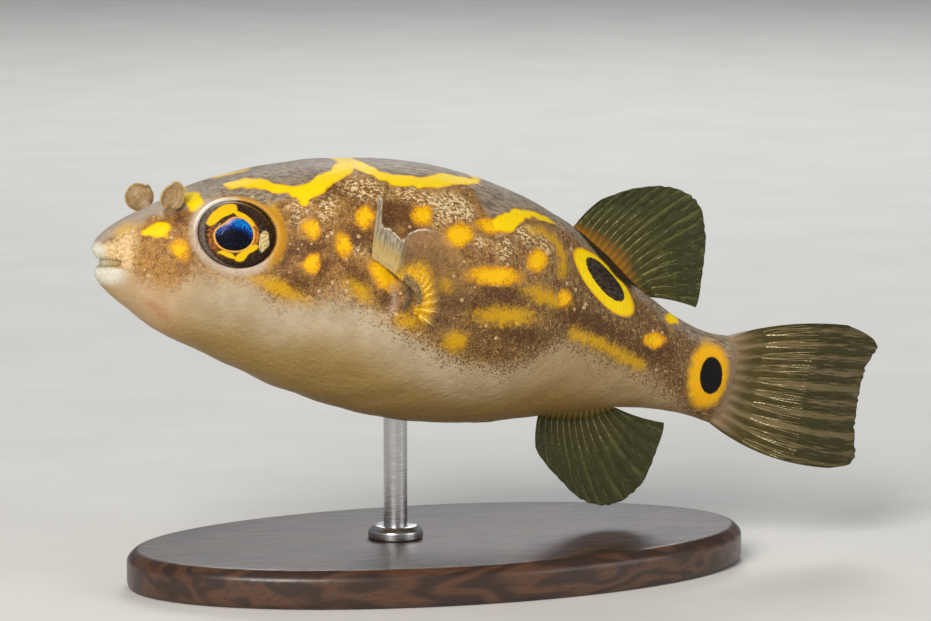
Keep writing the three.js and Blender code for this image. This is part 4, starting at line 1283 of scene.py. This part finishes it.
# base: share along it, behind the mouth, height; rays: share along the base,
# angle up from tailward (degrees), length; bow bends the first and last rays up;
# splits: how far out they branch; thick: a ray's radius; flesh: how far out it is
# fleshy; band: how far out the yellow round the pectoral's root goes, mm
FINS = {
    "dorsal": {
        "base": [(0, 40.6, 10.1), (1, 48.6, 5.5)], "root": 1.5, "sway": -0.5, "bow": (0.04, 0.04),
        "rays": [(0, 58, 3.4), (0.15, 57, 5.9), (0.35, 52, 8.4), (0.55, 47, 9.1), (0.72, 38, 7.8),
                 (0.87, 22, 5.8), (1, -1, 4.4)],
        "count": 16, "splits": (0.3, 0.62), "thick": 0.075, "flesh": 0.20,
    },
    "anal": {
        "base": [(0, 41.0, -5.9), (1, 47.5, -4.15)], "root": 1.4, "sway": -0.4, "bow": (-0.04, -0.04),
        "rays": [(0, -86, 2.9), (0.15, -73, 5.4), (0.35, -66, 7.9), (0.55, -58, 8.8), (0.72, -45, 8.1),
                 (0.87, -29, 6.3), (1, -7, 4.9)],
        "count": 14, "splits": (0.3, 0.62), "thick": 0.07, "flesh": 0.12,
    },
    "caudal": {
        "base": [(0, 56.9, 3.6), (1, 56.9, -4.25)], "root": 1.55, "sway": -0.9, "bow": (0.045, -0.075),
        "rays": [(0, 15, 10.7), (0.1, 11, 13.5), (0.3, 8.5, 12.9), (0.5, 3.5, 12.7), (0.7, -1.5, 12.9),
                 (0.9, -7.5, 13.5), (1, -9, 11.6)],
        "count": 10, "splits": (0.14, 0.36, 0.62), "thick": 0.12, "flesh": 0.3,
    },
    "pectoral": {
        "base": [(0, -2.2, 2.1), (0.4, 0.3, 0.9), (0.65, 2.0, -0.1), (1, 2.3, -2.1)],
        "root": 0.9, "sway": 0.4, "bow": (0, 0),
        "rays": [(0, 94, 4.9), (0.065, 94, 4.85), (0.105, 95, 3.1), (0.2, 91, 3.05), (0.32, 83, 2.72),
                 (0.4, 87, 3.6), (0.5, 85, 4.6), (0.6, 79, 5.15), (0.7, 64, 5.25), (0.8, 43, 5.15),
                 (0.88, 18, 4.75), (0.95, -10, 3.75), (1, -42, 2.55)],
        "count": 18, "splits": (0.62,), "thick": 0.06, "flesh": 0.12,
        "band": [(0, -0.9), (0.3, -0.5), (0.42, 0.6), (0.52, 1.7), (0.62, 2.3), (0.7, 2.1), (0.8, 1.7),
                 (0.9, 1.5), (1, 1.1)],
    },
}
PECTORAL_AT = (22.6, 8.5, 3.2)
PECTORAL_SPLAY, PECTORAL_LEAN = math.radians(24), math.radians(8)
RAY_SEGMENT = 0.42                  # length between a ray's joints, mm
RAY_TURNS, RAY_STEP, RAY_LEAST = 8, 0.105 if DENSE else 0.3, 6
RAY_TIPS = 0.985                    # how far out the last branches end
WEB_ACROSS, WEB_OUT = (240, 64) if DENSE else (120, 40)
WEB_SUNK = 0.04                     # share of a ray's length that the web starts inside the body
WEB_HALF = 0.035                    # half of the bare web's thickness, mm


def fin_point(fin, t, s):
    """Middle of the fin, t along its base and s out along its rays."""
    t, s = np.broadcast_arrays(np.asarray(t, float), np.asarray(s, float))
    angle = np.radians(smooth(fin["rays"], 1, t))
    length = smooth(fin["rays"], 2, t)
    first, last = fin["bow"]
    out, bend = length * s, length * (first + (last - first) * t) * 4 * s * (1 - s)
    x = smooth(fin["base"], 1, t) + np.cos(angle) * out - np.sin(angle) * bend
    z = smooth(fin["base"], 2, t) + np.sin(angle) * out + np.cos(angle) * bend
    return np.stack([x, fin["sway"] * np.abs(s) * s, z], -1)


def fin_comb(fin, t, s):
    """1 on the rays and -1 between them, and how far the web waves to and fro with them."""
    comb = np.cos((t - 0.5 / fin["count"]) * fin["count"] * 2 * math.pi)
    return comb, 0.05 * comb * step(s, 0.1, 0.4)


def fin_place(name, points, side):
    """Carries points from a fin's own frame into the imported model's."""
    if name == "pectoral":
        turn = turned(-side * PECTORAL_LEAN, side * PECTORAL_SPLAY)
        points = (points * (1, side, 1)) @ turn.T + np.array(PECTORAL_AT) * (1, side, 1)
    return place(points)


def add_web(name, piece_name, side, finish, slot, stands_for):
    """The thin web of a fin, fleshy at its base and notched between the rays."""
    fin = FINS[name]
    t = np.linspace(0, 1, WEB_ACROSS)[:, None]
    s = np.linspace(0, 1, WEB_OUT)[None, :] ** 0.9
    comb = fin_comb(fin, t, s)[0]
    notch = 0.004 * (1 - comb) + 0.004 * np.sin(t * 91 + 2 * np.sin(t * 37))
    if name == "pectoral":
        notch = notch + 0.03 * step(np.sin(t * 150) + np.sin(t * 67), 0.6, 1.4) * (t < 0.42)
    reach = (1 + WEB_SUNK - notch) * s - WEB_SUNK
    middle = fin_point(fin, t, reach)
    middle[..., 1] += fin_comb(fin, t, reach)[1]
    flesh = 1 - step(reach, 0.0, fin["flesh"])
    half = WEB_HALF + fin["root"] * 0.42 * flesh * (0.9 + 0.1 * comb)
    half = half * np.sqrt(np.clip(np.minimum(t, 1 - t) * 60, 0, 1)) * (1 - 0.6 * step(s, 0.96, 1.0))
    thick = half[..., None] * (0, 1, 0)
    points = np.concatenate([(middle - thick).reshape(-1, 3), (middle + thick).reshape(-1, 3)])
    quads = sheet_quads(WEB_ACROSS, WEB_OUT)
    if side == 1:
        quads = quads[:, ::-1]
    placed = fin_place(name, points, side)
    piece = make_piece(piece_name, placed, quads, stands_for=stands_for, finish=slot)
    out = reach * smooth(fin["rays"], 2, t)
    masks = {"t": t, "s": reach, "out": out, "comb": comb}
    if "band" in fin:
        masks["band"] = smooth(fin["band"], 1, t) - out
    masks = {key: np.broadcast_to(values, reach.shape) for key, values in masks.items()}
    dress(piece, finish, **{key: np.tile(values.ravel(), 2) for key, values in masks.items()}, fish=points)


def sheet_quads(rows, columns):
    """Two matching grids, front then back, joined along all four edges."""
    total = rows * columns
    front = grid_quads(rows, columns)
    back = front[:, ::-1] + total
    i, j = np.arange(rows - 1) * columns, np.arange(columns - 1)
    far = (rows - 1) * columns
    sides = [
        np.stack([i + columns, i, i + total, i + columns + total], -1),
        np.stack([i, i + columns, i + columns + total, i + total], -1) + columns - 1,
        np.stack([j, j + 1, j + 1 + total, j + total], -1),
        np.stack([j + 1, j, j + total, j + 1 + total], -1) + far,
    ]
    return np.concatenate([front, back] + sides)


def ray_runs(fin):
    """Each stem and branch as (start, end, place at its start, place at its end, thickness)."""
    gap = 1 / fin["count"]
    levels = (0.0,) + fin["splits"] + (RAY_TIPS,)
    for index in range(fin["count"]):
        runs = [((index + 0.5) * gap, 1.0)]
        for level, end in enumerate(levels[1:]):
            start = levels[level] - (0.01 if level else 0.03)
            ends = []
            for at, thick in runs:
                for sign in (-1, 1) if level else (0,):
                    goes = at + sign * gap * 0.24 * 0.5 ** (level - 1)
                    thinner = thick * 0.72 if level else thick
                    yield start, end, at, goes, thinner
                    ends.append((goes, thinner))
            runs = ends


def add_rays(name, piece_name, side, finish, slot):
    """Jointed, branching rays standing a little out of both faces of the web."""
    fin = FINS[name]
    turn = full_turn(RAY_TURNS)[:, None]
    parts, masks = [], []
    for index, (s0, s1, t0, t1, thick) in enumerate(ray_runs(fin)):
        length = float(smooth(fin["rays"], 2, np.array(t0)))
        s = np.linspace(s0, s1, max(RAY_LEAST, int((s1 - s0) * length / RAY_STEP)))
        t = t0 + (t1 - t0) * np.clip((s - s0) / (s1 - s0), 0, 1) ** 0.75
        middle = fin_point(fin, t, s)
        middle[:, 1] += fin_comb(fin, t, s)[1]
        along = np.gradient(middle, axis=0)
        along /= np.linalg.norm(along, axis=-1, keepdims=True)
        across = np.cross(along, (0, 1, 0))[:, None]
        joint = np.abs(((s * length / RAY_SEGMENT + 0.37 * index) % 1) - 0.5) * 2
        knuckle = 1 + 0.22 * step(joint, 0.62, 1.0) * (s > 0.12)
        radius = fin["thick"] * thick * (1 - 0.62 * np.clip(s, 0, 1)) * knuckle
        radius[0] *= 0.4
        radius[-1] *= 0.35
        rim = across * np.cos(turn) * 0.85 + np.sin(turn) * (0, 1, 0)
        parts.append(middle[:, None] + radius[:, None, None] * rim)
        rows = np.stack([t, s, s * smooth(fin["rays"], 2, t), joint], -1)
        masks += [np.repeat(rows, RAY_TURNS, axis=0), rows[:1], rows[-1:]]
    points, quads, tris = join_runs(parts)
    if side == 1:
        quads, tris = quads[:, ::-1], tris[:, ::-1]
    piece = make_piece(piece_name, fin_place(name, points, side), quads, tris, finish=slot)
    dress(piece, finish, **dict(zip(("t", "s", "out", "joint"), np.concatenate(masks).T)), fish=points)


def web_finish(name, near, far, flesh, flesh_end, solid, pale, spare, fade, comb_share, lean=0.0):
    """Smoky web; flesh colours its base, and pale streaky bundles widen outward along the rays.

    solid is how opaque it is; spare and fade thin out the bundles; lean fades the flesh rearward.
    """
    f = Finish(name + "_web")
    fish = f.vector()
    cloud = f.noise(fish, 0.8)
    fine = f.noise(fish, 6.0)
    t, s, comb = f.masks("t", "s", "comb")
    tone = s.shades(0.1, 0.8, near, far)
    tone.coat(cloud.rise(0.35, 0.7, 0.0, 0.45), (44, 40, 18))
    run = f.node("CombineXYZ", {0: t, 1: s * 0.08})
    lines = f.noise(run, 95.0, 2.0, 0.6)
    drift = f.noise(run, 11.0, 2.0, 0.5)
    bundle = comb * comb_share + (s - 0.5) * 0.3 + (lines - 0.5) * 3.2 + (drift - 0.5) * 3.4
    tone.coat(bundle.rise(spare, spare + 0.9, 0.0, 0.8) * s.rise(0.2, 1.0, 1.0, 1.0 - fade), pale)
    tone.coat(lines.rise(0.55, 0.68, 0.0, 0.4), pale)
    creep = s - comb * 0.03 + (fine - 0.5) * 0.1 + t.rise(0.5, 0.95, 0.0, lean)
    base = creep.rise(-0.02, flesh_end, 1.0, 0.0)
    tone.coat(base, flesh)
    veil = s.rise(0.15, 0.95, solid, solid * 0.92) + fine.rise(0.3, 0.7, -0.05, 0.05)
    f.set(Base_Color=tone, Alpha=veil.or_more(base), Roughness=0.5, Specular_IOR_Level=0.2)
    return f.set(Normal=f.bump(fine, 0.03, 0.5))


def ray_finish(name, dark, pale, glow, bright):
    """Rays in broken pale and dark lengths, with painted highlights in the glow colour; bright is how much
    of them is palest.
    """
    f = Finish(name + "_rays")
    s, joint = f.masks("s", "joint")
    patchy = f.noise(f.stretch(f.vector(), (0.5, 1, 1.6)), 1.2, 3.0, 0.6)
    tone = patchy.shades(0.4, 0.6, dark, pale)
    # painted highlights along the rays
    light = patchy.rise(0.62 - bright, 0.7 - bright) * joint.rise(0.2, 0.6)
    tone.coat(light * s.rise(0.1, 0.25), glow)
    f.set(Base_Color=tone, Roughness=0.45, Specular_IOR_Level=0.2)
    return f.set(Alpha=s.rise(0.6, 1.0, 1.0, 0.6))


def pectoral_web_finish():
    """Grey flap in front, a yellow band round the root and a thin brownish veil behind."""
    f = Finish("pectoral_web")
    fish = f.vector()
    t, s, out, comb = f.masks("t", "s", "out", "comb")
    fine = f.noise(fish, 5.0)
    streak = f.noise(f.stretch(fish, (4.0, 1.0, 0.8)), 1.6, 3.0, 0.6)
    flap = t.rise(0.34, 0.46, 1.0, 0.0)
    veil = s.shades(0.4, 1.0, (150, 114, 80), (178, 142, 102))
    grey = streak.shades(0.36, 0.64, (140, 126, 104), (192, 180, 156))
    tone = flap.between(veil, grey)
    wander = (fine - 0.5) * 0.7
    root = (out + wander).rise(0.8, 2.3, 1.0, 0.0)
    tone.coat(root * (flap * 0.8), (208, 178, 108))
    band = (f.mask("band") + wander).rise(-0.75, 0.8)
    yellow = fine.shades(0.35, 0.65, (208, 148, 12), (238, 188, 18))
    yellow.coat(comb.rise(0.3, -0.9, 0.0, 0.45) * t.rise(0.55, 0.72), (158, 112, 22))
    tone.coat(band, yellow)
    # painted shade in the axil at the fin's root
    fin_axil_shade = out.rise(0.3, 0.85, 0.8, 0.0) * t.rise(0.42, 0.48) * t.rise(0.8, 0.92, 1.0, 0.0)
    tone.coat(fin_axil_shade, fine.shades(0.4, 0.6, (66, 62, 58), (112, 104, 92)))
    edge = s.rise(0.93, 0.98) * t.rise(0.5, 0.62, 1.0, 0.0)
    tone.coat(edge * fine.rise(0.4, 0.55, 0.35, 1.0), (226, 216, 196))
    thin = t.rise(0.46, 0.85, 0.34, 0.05)
    solid = (band * 0.92).or_more(flap * 0.8).or_more(thin).or_more(edge * 0.85)
    f.set(Base_Color=tone, Alpha=solid, Roughness=0.5, Specular_IOR_Level=0.2)
    return f.set(Normal=f.bump(streak, 0.04, 0.6))


def pectoral_ray_finish():
    f = Finish("pectoral_rays")
    t, out = f.masks("t", "out")
    cream = f.noise(f.vector(), 5.0).shades(0.3, 0.7, (232, 192, 80), (250, 230, 150))
    far = t.shades(0.3, 0.45, (176, 164, 138), (158, 124, 86))
    cream = t.shades(0.52, 0.7, (206, 168, 72), cream)
    root = out.rise(0.5, 0.9).or_more(t.rise(0.8, 0.92))
    solid = t.rise(0.5, 0.68, 0.4, 1.0) * root * out.rise(1.2, 2.4, 1.0, 0.3)
    tone = out.shades(1.1, 2.0, cream, far)
    return f.set(Base_Color=tone, Roughness=0.45, Specular_IOR_Level=0.2, Alpha=solid)


def add_fins():
    olive = {"near": (66, 62, 22), "far": (50, 52, 14), "fade": 0.3, "comb_share": 0.7}
    dorsal = web_finish("dorsal", flesh=(156, 102, 12), flesh_end=0.24, solid=0.96, pale=(104, 106, 52),
                        spare=0.4, lean=0.16, **olive)
    anal = web_finish("anal", flesh=(150, 124, 62), flesh_end=0.12, solid=0.95, pale=(90, 92, 44),
                      spare=0.5, **olive)
    caudal = web_finish("caudal", near=(80, 68, 26), far=(50, 47, 10), flesh=(142, 118, 88),
                        flesh_end=0.22, solid=0.96, pale=(128, 112, 78), spare=0.0, fade=0.45,
                        comb_share=0.62)
    # the third colour of each is the rays' painted highlight
    fine_rays = ray_finish("fine", (104, 102, 56), (140, 138, 92), (206, 204, 166), 0.02)
    tail_rays = ray_finish("tail", (132, 116, 78), (168, 150, 110), (232, 216, 172), 0.1)
    finishes = {"dorsal": (dorsal, fine_rays), "anal": (anal, fine_rays), "caudal": (caudal, tail_rays)}
    for name, (web, rays) in finishes.items():
        add_web(name, name + "_fin_web", 0, web, "fin", (name + "_fin",))
        add_rays(name, name + "_fin_rays", 0, rays, "fin")
    web, rays = pectoral_web_finish(), pectoral_ray_finish()
    for name, side in SIDES.items():
        add_web("pectoral", "pectoral_web_" + name, side, web, "pectoral", ("pectoral_fin_" + name,))
        add_rays("pectoral", "pectoral_rays_" + name, side, rays, "pectoral")


# ---- Stand -----------------------------------------------------------

BASE_AT, BASE_HALF, BASE_THICK, BASE_BEVEL = -5.0, (27.0, 15.0), 3.2, 0.7
BASE_TURNS = 256 if DENSE else 96
FOOT_INSET, FOOT_GROOVE, TOP_INSET = 3.0, 0.35, 9.0
ROD_RADIUS, ROD_INTO_BODY, ROD_INTO_BASE, ROD_UNDER = 1.0, 2.6, 1.8, 28.4
ROD_END, ROD_CHAMFER = 0.9, 0.1     # the ends' share of the radius, and how long they taper
COLLAR_RADIUS, COLLAR_HEIGHT, COLLAR_GAP, COLLAR_SHOULDER = 2.3, 1.1, 0.03, 0.5
COLLAR_FIT = 0.02
BASE_ROUND, COLLAR_ROUND = (0.33, 6), (0.14, 5)     # radius and steps of the rounded edges
LATHE_TURNS = 96


def lathe(profile, at):
    turn = full_turn(LATHE_TURNS)
    rings = [np.stack([at + r * np.cos(turn), r * np.sin(turn), z + 0 * turn], -1) for r, z in profile]
    return np.array(rings) * MM


def rounded(corners, radius, steps):
    """Profile through the corners, each turned into a small arc."""
    corners = [np.array(c, float) for c in corners]
    line = [corners[0]]
    for before, here, after in zip(corners, corners[1:], corners[2:]):
        a = here + (before - here) / np.linalg.norm(before - here) * radius
        b = here + (after - here) / np.linalg.norm(after - here) * radius
        for t in np.linspace(0, 1, steps + 1):
            line.append((1 - t) ** 2 * a + 2 * t * (1 - t) * here + t * t * b)
    return line + [corners[-1]]


def add_base():
    """Oval wooden foot with a rounded upper edge and a shallow groove under it."""
    inset, groove, top, bevel = FOOT_INSET, FOOT_GROOVE, BASE_THICK, BASE_BEVEL
    corners = [(inset, 0.0), (groove, 0.0), (0.0, groove), (0.0, top - bevel), (bevel, top), (inset, top)]
    turn = full_turn(BASE_TURNS)
    rings = []
    for inward, z in rounded(corners, *BASE_ROUND) + [(TOP_INSET, top)]:
        wide, deep = BASE_HALF[0] - inward, BASE_HALF[1] - inward
        rings.append(np.stack([BASE_AT + wide * np.cos(turn), deep * np.sin(turn), z + 0 * turn], -1))
    base = loft(np.array(rings) * MM, "display_base",
                stands_for=("stand_base",), finish="stand_wood", sharp=60)
    dress(base, wood_finish())


def add_rod_and_collar():
    at, _, top = place(section(ROD_UNDER, math.pi)) / MM + (0, 0, ROD_INTO_BODY)
    low = BASE_THICK - ROD_INTO_BASE
    steel = steel_finish()
    end, wide = ROD_RADIUS * ROD_END, ROD_RADIUS
    profile = [(end, low), (wide, low + ROD_CHAMFER), (wide, 0.5 * (low + top)),
               (wide, top - ROD_CHAMFER), (end, top)]
    rod = loft(lathe(profile, at), "display_rod",
               stands_for=("stand_rod",), finish="stand_metal", sharp=40)
    dress(rod, steel)
    z, inner = BASE_THICK + COLLAR_GAP, ROD_RADIUS + COLLAR_FIT
    corners = [(inner, z), (COLLAR_RADIUS, z), (COLLAR_RADIUS, z + 0.62 * COLLAR_HEIGHT),
               (COLLAR_RADIUS - COLLAR_SHOULDER, z + COLLAR_HEIGHT), (inner, z + COLLAR_HEIGHT + 0.02)]
    collar = loft(lathe(rounded(corners, *COLLAR_ROUND), at), "display_collar",
                  stands_for=("stand_collar",), finish="stand_metal", sharp=60)
    dress(collar, steel)


def wood_finish():
    f = Finish("walnut")
    spot = f.stretch(f.object_place(), (1 / MM, 1 / MM, 1 / MM))
    ring = (f.noise(f.stretch(spot, (0.03, 0.12, 0.12)), 1.0) * 70.0).math("SINE")
    pores = f.noise(f.stretch(spot, (0.25, 5.0, 5.0)), 1.0, 3.0, 0.7)
    tone = ring.shades(-0.9, 0.9, (52, 32, 22), (84, 54, 36))
    tone.coat(pores.rise(0.5, 0.68, 0.0, 0.7), (34, 20, 13))
    f.set(Base_Color=tone, Roughness=pores.rise(0.3, 0.7, 0.32, 0.5))
    return f.set(Coat_Weight=0.25, Coat_Roughness=0.18, Normal=f.bump(pores, 0.03, 0.5))


def steel_finish():
    f = Finish("satin_steel")
    spot = f.stretch(f.object_place(), (1 / MM, 1 / MM, 1 / MM))
    hair = f.noise(f.stretch(spot, (0.8, 0.8, 14.0)), 1.0)
    tone = hair.shades(0.3, 0.7, (176, 176, 178), (206, 206, 208))
    f.set(Base_Color=tone, Metallic=1.0)
    return f.set(Roughness=hair.rise(0.3, 0.7, 0.22, 0.34), Normal=f.bump(hair, 0.01, 0.4))


add_camera()
add_floor()
add_studio()
add_skin()
IRIS, CORNEA, IVORY, FLAP = iris_finish(), cornea_finish(), ivory_finish(), flap_finish()
for side_name, side_sign in SIDES.items():
    add_eyeball(side_name, side_sign)
    add_cornea(side_name, side_sign)
    add_tentacle(side_name, side_sign)
add_beak("upper", 1)
add_beak("lower", -1)
add_fins()
add_base()
add_rod_and_collar()
